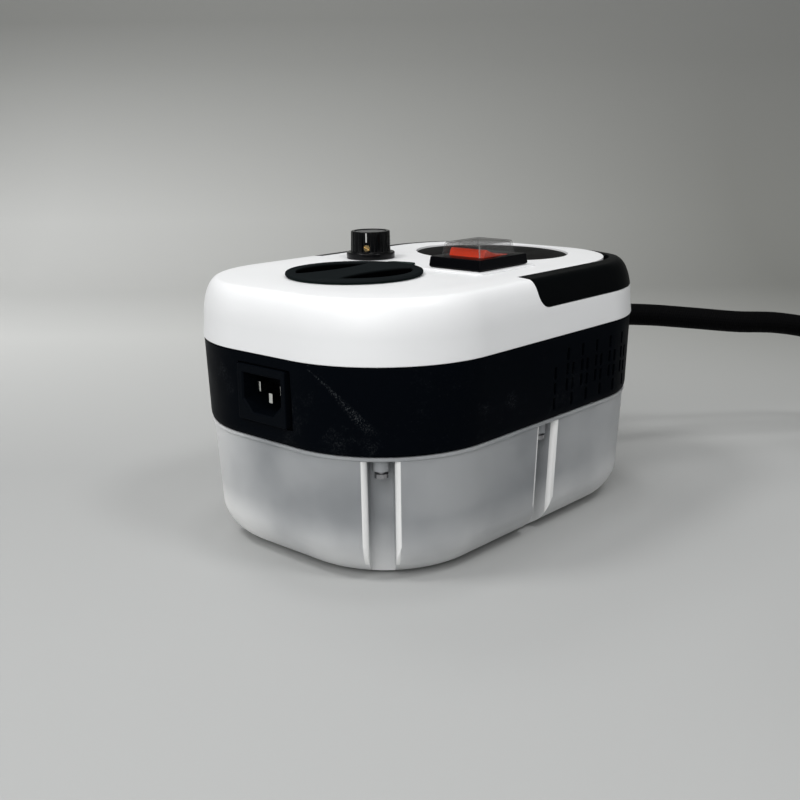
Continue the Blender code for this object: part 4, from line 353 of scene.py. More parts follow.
def in_view_axes(left, ahead, height):
    """A place given from the object's middle along the camera's own left and forward directions."""
    turn = math.radians(CAMERA_AZIMUTH)
    forward = Vector((-math.sin(turn), math.cos(turn), 0))
    leftward = Vector((-forward.y, forward.x, 0))
    return leftward * left + forward * ahead + Vector((0, 0, height))


def make_lamps():
    world = bpy.data.worlds.new("world")
    bpy.context.scene.world = world
    world.use_nodes = True
    background = world.node_tree.nodes["Background"]
    background.inputs["Color"].default_value = (0.98, 0.99, 1.0, 1)
    background.inputs["Strength"].default_value = 0.42
    for name, (place, target, size, power) in LAMPS.items():
        data = bpy.data.lights.new(name, "AREA")
        data.shape = "DISK"
        data.size = size
        data.energy = power
        lamp = bpy.data.objects.new(name, data)
        bpy.context.scene.collection.objects.link(lamp)
        lamp.location = in_view_axes(*place)
        toward = in_view_axes(*target) - lamp.location
        lamp.rotation_euler = toward.to_track_quat("-Z", "Y").to_euler()


# Node helpers

class Nodes:
    """A material's nodes, added and linked in one call each."""

    def __init__(self, name):
        self.material = bpy.data.materials.new(name)
        self.material.use_nodes = True
        self.tree = self.material.node_tree
        self.shader = self.tree.nodes["Principled BSDF"]

    def fill(self, node, values):
        """Link or set a node's inputs."""
        for key, value in dict(values).items():
            if isinstance(value, bpy.types.NodeSocket):
                self.tree.links.new(value, node.inputs[key])
            else:
                node.inputs[key].default_value = value

    def shade(self, values):
        self.fill(self.shader, values)

    def add(self, kind, values=(), **settings):
        node = self.tree.nodes.new(kind)
        for key, value in settings.items():
            setattr(node, key, value)
        self.fill(node, values)
        return node

    def base(self):
        """What gives the shader its colour so far."""
        return self.shader.inputs["Base Color"].links[0].from_socket

    def place(self):
        return self.add("ShaderNodeTexCoord").outputs["Object"]

    def axes(self):
        """The place's x, y and z."""
        return self.add("ShaderNodeSeparateXYZ", {0: self.place()}).outputs

    def along(self, way):
        """How far the place lies along a direction."""
        return self.add("ShaderNodeVectorMath", {0: self.place(), 1: tuple(way)},
                        operation="DOT_PRODUCT").outputs["Value"]

    def noise(self, scale, detail=3.0, roughness=0.5):
        return self.add("ShaderNodeTexNoise", {"Vector": self.place(), "Scale": scale, "Detail": detail,
                                               "Roughness": roughness}).outputs["Fac"]

    def band(self, value, low, high, to_low=0.0, to_high=1.0):
        return self.add("ShaderNodeMapRange", {"Value": value, "From Min": low, "From Max": high,
                                               "To Min": to_low, "To Max": to_high}).outputs[0]

    def math(self, operation, first, second=0.0):
        return self.add("ShaderNodeMath", {0: first, 1: second}, operation=operation).outputs[0]

    def times(self, first, second):
        return self.math("MULTIPLY", first, second)

    def most(self, first, second):
        return self.math("MAXIMUM", first, second)

    def mix(self, share, first, second):
        ends = [end if isinstance(end, bpy.types.NodeSocket) else (*end, 1) for end in (first, second)]
        return self.add("ShaderNodeMix", {0: share, 6: ends[0], 7: ends[1]}, data_type="RGBA").outputs[2]

    def bump(self, height, distance, normal=None):
        values = {"Height": height, "Distance": distance}
        if normal:
            values["Normal"] = normal
        return self.add("ShaderNodeBump", values).outputs[0]


def plastic(name, colour, roughness, grain=0.00002, grain_scale=1800, mottle=0.04, dust=0.0,
            dust_colour=(0.35, 0.36, 0.37), edge=0.0003, specular=0.5):
    """Moulded plastic: a fine spark-eroded grain, slight mottling, and dust in patches."""
    nodes = Nodes(name)
    fine = nodes.noise(grain_scale, 2)
    darker = tuple(channel * (1 - mottle) for channel in colour)
    lighter = tuple(min(1, channel * (1 + mottle)) for channel in colour)
    tone = nodes.mix(nodes.noise(38, 4), darker, lighter)
    if dust:
        speck = nodes.band(nodes.noise(900, 3, roughness=0.7), 0.60, 0.72)
        patch = nodes.band(nodes.noise(24, 3), 0.42, 0.70)
        tone = nodes.mix(nodes.times(nodes.times(speck, patch), dust), tone, dust_colour)
    rough = nodes.band(nodes.noise(70, 4), 0.3, 0.7, roughness * 0.92, min(1, roughness * 1.10))
    normal = nodes.add("ShaderNodeBevel", {"Radius": edge}, samples=4).outputs[0] if edge else None
    nodes.shade({"Base Color": tone, "Roughness": rough, "Specular IOR Level": specular,
                 "Normal": nodes.bump(fine, grain, normal)})
    return nodes


def metal(name, colour, roughness, scale=600, grain=0.00001):
    """Metal with fine machining or casting marks."""
    nodes = Nodes(name)
    marks = nodes.noise(scale, 3)
    darker = tuple(channel * 0.85 for channel in colour)
    nodes.shade({"Base Color": nodes.mix(marks, darker, colour),
                 "Roughness": nodes.band(marks, 0.3, 0.7, roughness * 0.8, roughness * 1.2),
                 "Metallic": 1.0, "Normal": nodes.bump(marks, grain)})
    return nodes.material


def frosted_plastic():
    """Milky translucent plastic: it blurs what is behind it. It is whiter low down, on its +y and +x sides
    and at the flute edges, as painted glow and painted highlights.
    """
    nodes = plastic("frosted", (0.47, 0.49, 0.51), 0.42, grain=0.000015, grain_scale=1400, mottle=0.03,
                    edge=0)
    x, y, height = nodes.axes()
    # Painted glow towards the bottom and painted light on the +y and +x sides: a whiter base colour and a
    # less clear wall
    low = nodes.band(height, *PAINTED_GLOW_FADE_HEIGHT, 0.0, 0.65)
    cloud = nodes.band(nodes.noise(22, 3), 0.40, 0.65, 0.0, 0.22)
    painted_lit_side = nodes.most(nodes.band(y, *PAINTED_LIT_SIDE_FADE_Y, 0.0, 0.75),
                             nodes.band(x, *PAINTED_LIT_SIDE_FADE_X, 0.0, 0.22))
    # Painted highlight at the flute edges
    painted_flute_edge_glow = nodes.add("ShaderNodeAttribute", attribute_name="painted_flute_edge_glow").outputs["Fac"]
    cloud_and_painted_glow = nodes.most(nodes.math("ADD", low, painted_lit_side), painted_flute_edge_glow)
    cloud_and_painted_glow = nodes.math("MINIMUM", nodes.math("ADD", cloud_and_painted_glow, cloud), 1.0)
    nodes.shade({"Base Color": nodes.mix(cloud_and_painted_glow, nodes.base(), (0.97, 0.97, 0.96)), "IOR": 1.35,
                 "Transmission Weight": nodes.band(cloud_and_painted_glow, 0, 1, 0.55, 0.12)})
    return nodes.material


def smoky_plastic():
    """Thin smoky clear plastic, thickest to the eye on its top, with a painted reflection on its ends and
    painted highlights on its edges.
    """
    nodes = plastic("smoky_clear", (0.035, 0.035, 0.034), 0.07, grain=0.000002, mottle=0.05, edge=0,
                    specular=0.12)
    normal = nodes.add("ShaderNodeNewGeometry").outputs["Normal"]
    x, y, z = nodes.add("ShaderNodeSeparateXYZ", {0: normal}).outputs
    upright = nodes.math("ABSOLUTE", z)
    # Painted highlights on the rounded roof edge and the upright corners: lighter grey and less clear
    rim = nodes.times(nodes.band(upright, 0.15, 0.35), nodes.band(upright, 0.98, 0.85))
    aslant = nodes.math("ABSOLUTE", nodes.times(x, y))
    edge = nodes.most(rim, nodes.band(aslant, 0.10, 0.35))
    # Painted reflection on the ends facing ±y: lighter grey and less clear
    painted_end_reflection = nodes.band(nodes.math("ABSOLUTE", y), 0.6, 0.9)
    film = nodes.band(nodes.noise(60, 3), 0.3, 0.7, -0.03, 0.03)
    veil = nodes.band(nodes.band(upright, 0.5, 0.9), 0, 1, 0.10, 0.57)
    veil = nodes.most(nodes.math("ADD", veil, film), nodes.times(edge, 0.45))
    nodes.shade({"Base Color": nodes.mix(nodes.most(edge, nodes.times(painted_end_reflection, 0.7)), nodes.base(),
                                         (0.20, 0.20, 0.195)),
                 "Alpha": nodes.most(veil, nodes.times(painted_end_reflection, 0.18))})
    return nodes.material


def silicone():
    nodes = plastic("silicone", (0.70, 0.70, 0.66), 0.45, mottle=0.03, edge=0)
    nodes.shade({"Transmission Weight": 0.4})
    return nodes.material


def hose_braid():
    """A tight braid, drawn in the tube's own round-and-along coordinates (both in metres)."""
    nodes = Nodes("hose_braid")
    where = nodes.add("ShaderNodeUVMap", uv_map="along").outputs[0]
    across, along, _ = nodes.add("ShaderNodeSeparateXYZ", {0: where}).outputs
    waves = []
    for side in (-1, 1):
        leaning = nodes.math("ADD", along, nodes.times(across, 0.42 * side))
        waves.append(nodes.math("SINE", nodes.times(leaning, 2 * math.pi / BRAID_STRAND)))
    weave = nodes.band(nodes.most(*waves), -0.6, 1.0)
    height = nodes.math("ADD", weave, nodes.times(nodes.noise(2600, 2), 0.35))
    nodes.shade({"Base Color": nodes.mix(weave, (0.0004, 0.0004, 0.0005), (0.0022, 0.0022, 0.0025)),
                 "Roughness": 0.6, "Specular IOR Level": 0.03, "Normal": nodes.bump(height, BRAID_HEIGHT)})
    return nodes.material


def band_plastic():
    """The shell's black, rubbed a little, with one long pale scuff by the near corner."""
    nodes = plastic("band_black", (0.0010, 0.0018, 0.0032), 0.46, grain=0.000022, grain_scale=1500,
                    mottle=0.12, dust=0.02, edge=0.0003, specular=0.015)
    x, _, height = nodes.axes()
    gone = nodes.band(height, SCUFF_TOP, SCUFF_LOW)
    middle = nodes.band(nodes.math("POWER", gone, 0.85), 0, 1, SCUFF_START, SCUFF_END)
    away = nodes.math("ABSOLUTE", nodes.math("SUBTRACT", nodes.along(SCUFF_WAY), middle))
    width = nodes.band(gone, 0, 1, *SCUFF_WIDTHS)
    stripe = nodes.band(nodes.math("DIVIDE", away, width), 1.0, 0.0)
    front = nodes.band(x, *SCUFF_FADE_X)
    grit = nodes.band(nodes.noise(1500, 4, roughness=0.7), 0.50, 0.68)
    fade = nodes.band(gone, 0.92, 0.70)
    scuff = nodes.times(nodes.times(stripe, front), nodes.times(grit, fade))
    rubbed = nodes.band(nodes.noise(48, 4, roughness=0.7), 0.58, 0.75, 0.0, 0.25)
    share = nodes.most(nodes.times(scuff, 0.42), nodes.times(rubbed, grit))
    nodes.shade({"Base Color": nodes.mix(share, nodes.base(), (0.13, 0.14, 0.15))})
    return nodes.material


MATERIALS = {
    "frosted_plastic": frosted_plastic(),
    "black_plastic": plastic("black", (0.0016, 0.0021, 0.0030), 0.45, mottle=0.10, dust=0.01,
                             specular=0.05).material,
    "gloss_black_plastic": plastic("gloss_black", (0.0010, 0.0012, 0.0015), 0.18, grain=0.000003,
                                   mottle=0.05, edge=0.0002, specular=0.16).material,
    "white_plastic": plastic("white", (0.81, 0.815, 0.82), 0.38, grain=0.000006, mottle=0.012).material,
    "grey_plastic": plastic("dark_grey", (0.006, 0.006, 0.007), 0.62, grain=0.00003, grain_scale=2400,
                            mottle=0.10, dust=0.02, specular=0.06).material,
    "red_plastic": plastic("red", (0.92, 0.050, 0.006), 0.30, grain=0.000003, mottle=0.04,
                           specular=0.3).material,
    "smoky_clear_plastic": smoky_plastic(),
    "rubber": plastic("rubber", (0.006, 0.015, 0.013), 0.72, mottle=0.12, dust=0.03,
                      specular=0.08).material,
    "hose_braid": hose_braid(),
    "steel": metal("steel", (0.34, 0.34, 0.35), 0.36),
    "brass": metal("brass", (0.66, 0.48, 0.22), 0.26),
    "cast_aluminium": metal("cast_aluminium", (0.52, 0.52, 0.53), 0.5, scale=1200, grain=0.00004),
    "silicone": silicone(),
    "circuit_board": plastic("board", (0.02, 0.16, 0.06), 0.4, mottle=0.15, edge=0).material,
    "coil_tape": plastic("coil_tape", (0.55, 0.40, 0.06), 0.5, mottle=0.12, edge=0).material,
    "inlay_metal": metal("inlay", (0.34, 0.34, 0.35), 0.35),
}
SLOT_OF = {entry["node"]: entry["material_slot"] for entry in frame["record"]["subparts"]}


# Modelling helpers

def new_object(name, drawing):
    bmesh.ops.recalc_face_normals(drawing, faces=drawing.faces)
    data = bpy.data.meshes.new(name)
    drawing.to_mesh(data)
    drawing.free()
    made = bpy.data.objects.new(name, data)
    bpy.context.scene.collection.objects.link(made)
    return made


def skin(drawing, rings, ring_closed=False):
    rows = [[drawing.verts.new(point) for point in ring] for ring in rings]
    pairs = list(zip(rows, rows[1:]))
    if ring_closed:
        pairs.append((rows[-1], rows[0]))
    for low, high in pairs:
        for index in range(len(low)):
            after = (index + 1) % len(low)
            drawing.faces.new((low[index], low[after], high[after], high[index]))
    if not ring_closed:
        drawing.faces.new(rows[0])
        drawing.faces.new(rows[-1])


def loft(name, rings, ring_closed=False):
    """Skin over rings of equally many points, with a cap on each end, or round to the first ring."""
    drawing = bmesh.new()
    skin(drawing, rings, ring_closed)
    return new_object(name, drawing)


def turned(name, profile, centre, direction=(0, 0, 1), steps=WIDE_STEPS):
    """Turn (radius, height) pairs about a line through centre."""
    turn = Vector((0, 0, 1)).rotation_difference(Vector(direction)).to_matrix()
    drawing = bmesh.new()
    rows = []
    for radius, height in profile:
        if not radius:
            rows.append([drawing.verts.new(turn @ Vector((0, 0, height)) + Vector(centre))])
            continue
        row = []
        for step in range(steps):
            angle = 2 * math.pi * step / steps
            point = Vector((radius * math.cos(angle), radius * math.sin(angle), height))
            row.append(drawing.verts.new(turn @ point + Vector(centre)))
        rows.append(row)
    pairs = list(zip(rows, rows[1:]))
    if len(rows[0]) > 1:
        pairs.append((rows[-1], rows[0]))
    for first, second in pairs:
        for index in range(steps):
            after = (index + 1) % steps
            corners = [first[index % len(first)], first[after % len(first)],
                       second[after % len(second)], second[index % len(second)]]
            drawing.faces.new(list(dict.fromkeys(corners)))
    return new_object(name, drawing)


def prism(name, outline, shift):
    """A flat outline of 3-D points pushed along shift."""
    return loft(name, [outline, [tuple(Vector(point) + Vector(shift)) for point in outline]])


def block(name, low, high):
    (x0, y0, z0), (x1, y1, z1) = low, high
    return prism(name, [(x0, y0, z0), (x1, y0, z0), (x1, y1, z0), (x0, y1, z0)], (0, 0, z1 - z0))


def rods(name, ends, radius, segments=48):
    """Several separate cylinders in one object, each between two points."""
    drawing = bmesh.new()
    for start, end in ends:
        along = Vector(end) - Vector(start)
        turn = Vector((0, 0, 1)).rotation_difference(along).to_matrix().to_4x4()
        place = Matrix.Translation((Vector(start) + Vector(end)) / 2) @ turn
        bmesh.ops.create_cone(drawing, cap_ends=True, segments=segments, radius1=radius, radius2=radius,
                              depth=along.length, matrix=place)
    return new_object(name, drawing)


def combine(target, tools, operation):
    """Apply exact Booleans to target and remove the tools."""
    for tool in tools:
        step = target.modifiers.new(tool.name, "BOOLEAN")
        step.operation = operation
        step.object = tool
        step.solver = "EXACT"
    settle(target)
    for tool in tools:
        bpy.data.objects.remove(tool, do_unlink=True)


def settle(target):
    """Make target's modifiers part of its mesh."""
    graph = bpy.context.evaluated_depsgraph_get()
    data = bpy.data.meshes.new_from_object(target.evaluated_get(graph))
    target.modifiers.clear()
    target.data = data


def cut(target, *tools):
    combine(target, tools, "DIFFERENCE")


def join(target, *tools):
    combine(target, tools, "UNION")


def dress(target, body, slot, nodes=(), material=None, angle=30):
    """Finish a piece: smooth shading, material, the body it rides on and the nodes it stands for."""
    data = target.data
    data.materials.clear()
    data.materials.append(material or MATERIALS[slot])
    data.shade_smooth()
    data.set_sharp_from_angle(angle=math.radians(angle))
    weigh = target.modifiers.new("weigh", "WEIGHTED_NORMAL")
    weigh.keep_sharp = True
    settle(target)
    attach(target, body)
    if nodes:
        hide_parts(*nodes)


def arc(centre_x, centre_y, radius, start, end, steps):
    angles = [math.radians(start + (end - start) * step / steps) for step in range(steps + 1)]
    return [(centre_x + radius * math.cos(angle), centre_y + radius * math.sin(angle)) for angle in angles]


def rounded_rim(radius, height, edge, steps):
    """(radius, height) pairs round a turned piece's upper outer edge, from its flat top down."""
    angles = [math.radians(90 * step / steps) for step in range(steps + 1)]
    return [(radius - edge * (1 - math.sin(angle)), height - edge * (1 - math.cos(angle)))
            for angle in angles]


def rounded_outline(half_length, half_width, radius, steps=CORNER_STEPS):
    points = []
    for quarter, (side_x, side_y) in enumerate(((1, 1), (-1, 1), (-1, -1), (1, -1))):
        points += arc(side_x * (half_length - radius), side_y * (half_width - radius), radius,
                      90 * quarter, 90 * (quarter + 1), steps)
    return points


def body_rings(profile):
    """Rings of the body's outline at (inset, height) pairs."""
    rings = []
    for inset, height in profile:
        outline = rounded_outline(HALF_LENGTH - inset, HALF_WIDTH - inset, CORNER_RADIUS - inset)
        rings.append([(x, y, height) for x, y in outline])
    return rings


def at_height(outline, height, shift=(0, 0)):
    return [(x + shift[0], y + shift[1], height) for x, y in outline]


def mouth_rings(depth, lip):
    """(growth, rise) pairs of a recess whose mouth is rounded outward by lip."""
    return [(0, -depth), (0, -lip), (lip * 0.3, -lip * 0.3), (lip, 0), (lip, OVERRUN)]


def in_side_view(outline, y):
    return [(x, y, z) for x, z in outline]


# Tank

def flute_places():
    corner_x = HALF_LENGTH - CORNER_RADIUS
    corner_y = HALF_WIDTH - CORNER_RADIUS
    places = []
    for side_y in (-1, 1):
        for side_x in (-1, 1):
            angle = math.atan2(side_y * math.sin(math.radians(FLUTE_ANGLE)),
                               side_x * math.cos(math.radians(FLUTE_ANGLE)))
            places.append((angle, Vector((side_x * corner_x, side_y * corner_y)), True))
        places.append((side_y * math.pi / 2, Vector((0, side_y * corner_y)), False))
    return places


def tank_wall_inset(height):
    return TANK_INSET + TANK_DRAFT_SHARE * (TANK_TOP - height)


def flute_point(place, inset):
    angle, centre, _ = place
    return centre + (CORNER_RADIUS - inset) * Vector((math.cos(angle), math.sin(angle)))


def flute_section(place, height, grow):
    angle, _, at_corner = place
    outward = Vector((math.cos(angle), math.sin(angle)))
    along = Vector((-outward.y, outward.x))
    inset = tank_wall_inset(height)
    half = FLUTE_MOUTH_WIDTH / 2 + grow
    back_half = FLUTE_BACK_WIDTH / 2 + grow
    depth = FLUTE_DEPTH + grow
    mouth = FLUTE_MOUTH_RADIUS
    back = FLUTE_BACK_RADIUS + grow
    radius = CORNER_RADIUS - inset
    sink = radius - math.sqrt(radius ** 2 - (half + mouth) ** 2) if at_corner else 0
    right = [(half + mouth, -OVERRUN)]
    right += arc(half + mouth, sink + mouth, mouth, -90, -180, SMALL_STEPS)
    right += arc(back_half - back, depth - back, back, 10, 90, SMALL_STEPS)
    left = [(-x, y) for x, y in reversed(right)]
    base = flute_point(place, inset)
    flat = [base + along * across - outward * inward for across, inward in right + left]
    return [(point.x, point.y, height) for point in flat]


def flute_body(name, grow, top):
    drawing = bmesh.new()
    for place in flute_places():
        skin(drawing, [flute_section(place, -OVERRUN, grow), flute_section(place, top, grow)])
    return new_object(name, drawing)


def tank_profile(offset, top):
    fillet = TANK_FILLET - offset
    foot = tank_wall_inset(TANK_FILLET) + offset + fillet
    pairs = [(foot - x, offset + fillet - z) for x, z in arc(0, 0, fillet, 90, 0, FILLET_STEPS)]
    return pairs + [(tank_wall_inset(top) + offset, top)]


def screw_rods(name, radius, low, high):
    spots = [flute_point(place, SCREW_INSET) for place in flute_places()]
    return rods(name, [((spot.x, spot.y, low), (spot.x, spot.y, high)) for spot in spots], radius)


def mark_painted_flute_edge_glow(tank):
    """Mark the faces at the flutes' mouths and sides, where the wall is seen edge on, for a painted
    highlight that makes them whiter.
    """
    marks = tank.data.attributes.new("painted_flute_edge_glow", "FLOAT", "FACE")
    near = FLUTE_MOUTH_WIDTH / 2 - GAP
    far = FLUTE_MOUTH_WIDTH / 2 + FLUTE_MOUTH_RADIUS
    for face in tank.data.polygons:
        middle = face.center
        if middle.z > RIM_LOW - TANK_WALL / 2:
            continue
        for place in flute_places():
            outward = Vector((math.cos(place[0]), math.sin(place[0])))
            offset = Vector(middle[:2]) - flute_point(place, tank_wall_inset(middle.z))
            across = abs(offset.x * -outward.y + offset.y * outward.x)
            inward = -offset.dot(outward)
            if near < across < far and abs(inward) < FLUTE_MOUTH_RADIUS * 1.3:
                marks.data[face.index].value = 1


def water_tank():
    edge = 0.0004
    outer = tank_profile(0, RIM_LOW)
    outer += [(RIM_INSET + edge, RIM_LOW), (RIM_INSET, RIM_LOW + edge), (RIM_INSET, TANK_TOP)]
    tank = loft("tank_shell", body_rings(outer))
    cavity = loft("tank_cavity", body_rings(tank_profile(TANK_WALL, TANK_TOP + OVERRUN)))
    cut(cavity, flute_body("flute_walls", TANK_WALL, TANK_TOP + 2 * OVERRUN))
    cut(tank, flute_body("flutes", 0, RIM_LOW), cavity)
    boss_low = RIM_LOW - TANK_BOSS_HEIGHT
    join(tank, screw_rods("tank_bosses", TANK_BOSS_RADIUS, boss_low, RIM_LOW + RIM_THICKNESS / 2))
    cut(tank, screw_rods("tank_screw_holes", SCREW_RADIUS + GAP, boss_low - OVERRUN, TANK_TOP + OVERRUN))
    mark_painted_flute_edge_glow(tank)
    dress(tank, "housing", "frosted_plastic", ["water_tank"])


# Middle shell

def vent_spots():
    top = COVER_LOW - VENT_TOP_DEPTH
    even = [top, top - VENT_ROW_PITCH]
    odd = [level - VENT_STAGGER for level in even]
    spots = [(VENT_LONE_X, level) for level in odd]
    for pair in range(VENT_PAIRS):
        start = VENT_PAIR_START + pair * VENT_PAIR_PITCH
        spots += [(start, level) for level in even]
        spots += [(start + VENT_COLUMN_STEP, level) for level in odd]
    return spots


def vent_slots():
    """Upright slots through both long sides."""
    slot = rounded_outline(VENT_WIDTH / 2, VENT_HEIGHT / 2, VENT_CORNER, steps=3)
    drawing = bmesh.new()
    for side in (-1, 1):
        for x, level in vent_spots():
            skin(drawing, [[(x + dx, side * (HALF_WIDTH - depth), level + dz) for dx, dz in slot]
                           for depth in (-OVERRUN, VENT_DEPTH)])
    return new_object("vent_slots", drawing)


def side_depth(x):
    """How far the long side's wall lies in from its flat face at x, on the round corners."""
    over = abs(x) - (HALF_LENGTH - CORNER_RADIUS)
    if over <= 0:
        return 0
    return CORNER_RADIUS - math.sqrt(CORNER_RADIUS ** 2 - over ** 2)


def vent_dimples():
    """Shallow dimples between the slots of a column, as deep on the round corner as on the flat."""
    half_height = (VENT_ROW_PITCH - VENT_HEIGHT) / 2 - DIMPLE_MARGIN
    slot = rounded_outline(VENT_WIDTH / 2, half_height, VENT_CORNER, steps=3)
    drawing = bmesh.new()
    for side in (-1, 1):
        for x, level in vent_spots():
            middle = level - VENT_ROW_PITCH / 2
            if middle - VENT_HEIGHT / 2 < TANK_HEIGHT + SHELL_LIP_HEIGHT:
                continue
            skin(drawing, [[(x + dx, side * (HALF_WIDTH - depth), middle + dz) for dx, dz in slot]
                           for depth in (-OVERRUN, side_depth(x) + DIMPLE_DEPTH)])
    return new_object("vent_dimples", drawing)


def inlet_block(name, half_y, half_z, x_low, x_high, shift=0):
    outline = rounded_outline(half_y, half_z, INLET_BLOCK_CORNER, steps=5)
    ring = [(-HALF_LENGTH + x_low, shift + y, INLET_Z + z) for y, z in outline]
    return prism(name, ring, (x_high - x_low, 0, 0))


def middle_shell():
    lip = [(SHELL_LIP_INSET * (1 - z), TANK_HEIGHT + SHELL_LIP_HEIGHT * (1 - x))
           for x, z in arc(0, 0, 1, 0, 90, FILLET_STEPS)]
    edge = 0.0005
    brim = [(edge - edge * x - BAND_FLARE, SHELL_TOP - edge + edge * z) for x, z in arc(0, 0, 1, 0, 90, 4)]
    inside = [(SHELL_WALL, SHELL_TOP), (SHELL_WALL, TANK_HEIGHT)]
    shell = loft("band_shell", body_rings(lip + brim + inside), ring_closed=True)
    boss_low = LID_TOP + GAP
    join(shell, screw_rods("shell_bosses", SHELL_BOSS_RADIUS, boss_low, boss_low + SHELL_BOSS_HEIGHT))
    pocket_y = INLET_POCKET_WIDTH / 2
    pocket_z = INLET_FRAME_HEIGHT / 2 + INLET_POCKET_MARGIN
    depth = INLET_FRAME_THICKNESS - INLET_PROUD + GAP
    join(shell, inlet_block("inlet_pad", pocket_y + SHELL_WALL, pocket_z + SHELL_WALL, SHELL_WALL / 2,
                            INLET_PAD_DEPTH, INLET_POCKET_SHIFT))
    cut(shell, inlet_block("inlet_pocket", pocket_y, pocket_z, -OVERRUN, depth, INLET_POCKET_SHIFT),
        inlet_block("inlet_hole", INLET_BODY_WIDTH / 2 + GAP, INLET_BODY_HEIGHT / 2 + GAP, 0,
                    INLET_HOLE_DEPTH),
        rods("gland_hole", [((HALF_LENGTH - SHELL_WALL - OVERRUN, 0, OUTLET_Z),
                             (HALF_LENGTH + OVERRUN, 0, OUTLET_Z))], GLAND_STUB_RADIUS + GAP),
        screw_rods("shell_screw_holes", SCREW_RADIUS + GAP, boss_low - OVERRUN,
                   boss_low + SHELL_SCREW_DEPTH),
        vent_slots(), vent_dimples())
    dress(shell, "housing", "black_plastic", ["middle_shell"], material=band_plastic(), angle=35)


def mains_inlet():
    front = -INLET_PROUD
    edge = 0.0005
    half_y = INLET_FRAME_WIDTH / 2
    half_z = INLET_FRAME_HEIGHT / 2
    rings = []
    for inset, x in ((edge, front), (edge * 0.3, front + edge * 0.3), (0, front + edge),
                     (0, INLET_FRAME_THICKNESS - INLET_PROUD)):
        outline = rounded_outline(half_y - inset, half_z - inset, INLET_FRAME_CORNER, steps=6)
        rings.append([(-HALF_LENGTH + x, INLET_FRAME_SHIFT + y, INLET_Z + z) for y, z in outline])
    housing = loft("inlet_frame", rings)
    join(housing, inlet_block("inlet_body", INLET_BODY_WIDTH / 2, INLET_BODY_HEIGHT / 2, edge, INLET_DEPTH))
    half_y = INLET_SOCKET_WIDTH / 2
    half_z = INLET_SOCKET_HEIGHT / 2
    chamfer = INLET_SOCKET_CHAMFER
    bevel = INLET_SOCKET_BEVEL
    hair = 0.00001
    start = -HALF_LENGTH + front
    rings = []
    for grow, x in ((bevel, -OVERRUN), (bevel, -hair), (0, bevel), (0, INLET_SOCKET_DEPTH)):
        wide, tall = half_y + grow, half_z + grow
        mouth = [(-wide, tall), (-wide, chamfer - tall), (chamfer - wide, -tall), (wide - chamfer, -tall),
                 (wide, chamfer - tall), (wide, tall)]
        rings.append([(start + x, INLET_SOCKET_SHIFT + y, INLET_Z + z) for y, z in mouth])
    cut(housing, loft("inlet_socket", rings))
    for y, z in BLADE_SPOTS:
        low = (-HALF_LENGTH, y - BLADE_SLOT_HALF_WIDTH, INLET_Z + z - BLADE_SLOT_HALF_HEIGHT)
        high = (-HALF_LENGTH + BLADE_SLOT_REACH, y + BLADE_SLOT_HALF_WIDTH,
                INLET_Z + z + BLADE_SLOT_HALF_HEIGHT)
        cut(housing, block("blade_slot", low, high))
    material = plastic("inlet_black", (0.0016, 0.0025, 0.0040), 0.45, mottle=0.08, dust=0.01, edge=0.0003,
                       specular=0.02).material
    dress(housing, "housing", "black_plastic", ["inlet_housing"], material=material)


# Top cover and carry handle

def cover_profile(offset, low):
    bend = COVER_TOP - COVER_FILLET_HEIGHT
    base = COVER_DRAFT_SHARE * (bend - COVER_LOW) + offset - COVER_FLARE
    width = COVER_FILLET_WIDTH - offset / 2
    height = COVER_FILLET_HEIGHT - offset - CROWN_DROP
    pairs = [(offset - COVER_FLARE, low)]
    pairs += [(base + width * (1 - x), bend + height * z) for x, z in arc(0, 0, 1, 0, 90, FILLET_STEPS)]
    start_inset, start_height = pairs[-1]
    for share in (0.35, 0.7, 1.0):
        rise = (COVER_TOP - offset - start_height) * math.sin(math.pi / 2 * share)
        pairs.append((start_inset + (CROWN_INSET - start_inset) * share, start_height + rise))
    return pairs


def groove_region(name, grow, inner_half, inner_end, inner_corner):
    radius = ARM_RADIUS + grow
    top = COVER_TOP + OVERRUN
    side = [(PIVOT_X - radius, top)]
    side += arc(PIVOT_X, PIVOT_Z, radius, 180, 270, FILLET_STEPS)
    side += [(HALF_LENGTH + OVERRUN, PIVOT_Z - radius), (HALF_LENGTH + OVERRUN, top)]
    region = prism(name, in_side_view(side, -HALF_WIDTH - OVERRUN), (0, BODY_WIDTH + 2 * OVERRUN, 0))
    inner = rounded_outline(inner_end, inner_half, inner_corner)
    cut(region, prism(f"{name}_inside", at_height(inner, COVER_LOW), (0, 0, COVER_HEIGHT + 2 * OVERRUN)))
    return region


def pivot_rods(name, radius, near, far):
    ends = [((PIVOT_X, side * near, PIVOT_Z), (PIVOT_X, side * far, PIVOT_Z)) for side in (-1, 1)]
    return rods(name, ends, radius)


def ellipse(half_length, half_width, steps=WIDE_STEPS):
    return [(RECESS_X + half_length * x, RECESS_Y + half_width * y)
            for x, y in arc(0, 0, 1, 0, 360 - 360 / steps, steps - 1)]


def stacked(name, steps, centre=(0, 0)):
    """A loft of (outline, height) pairs."""
    return loft(name, [at_height(outline, height, centre) for outline, height in steps])


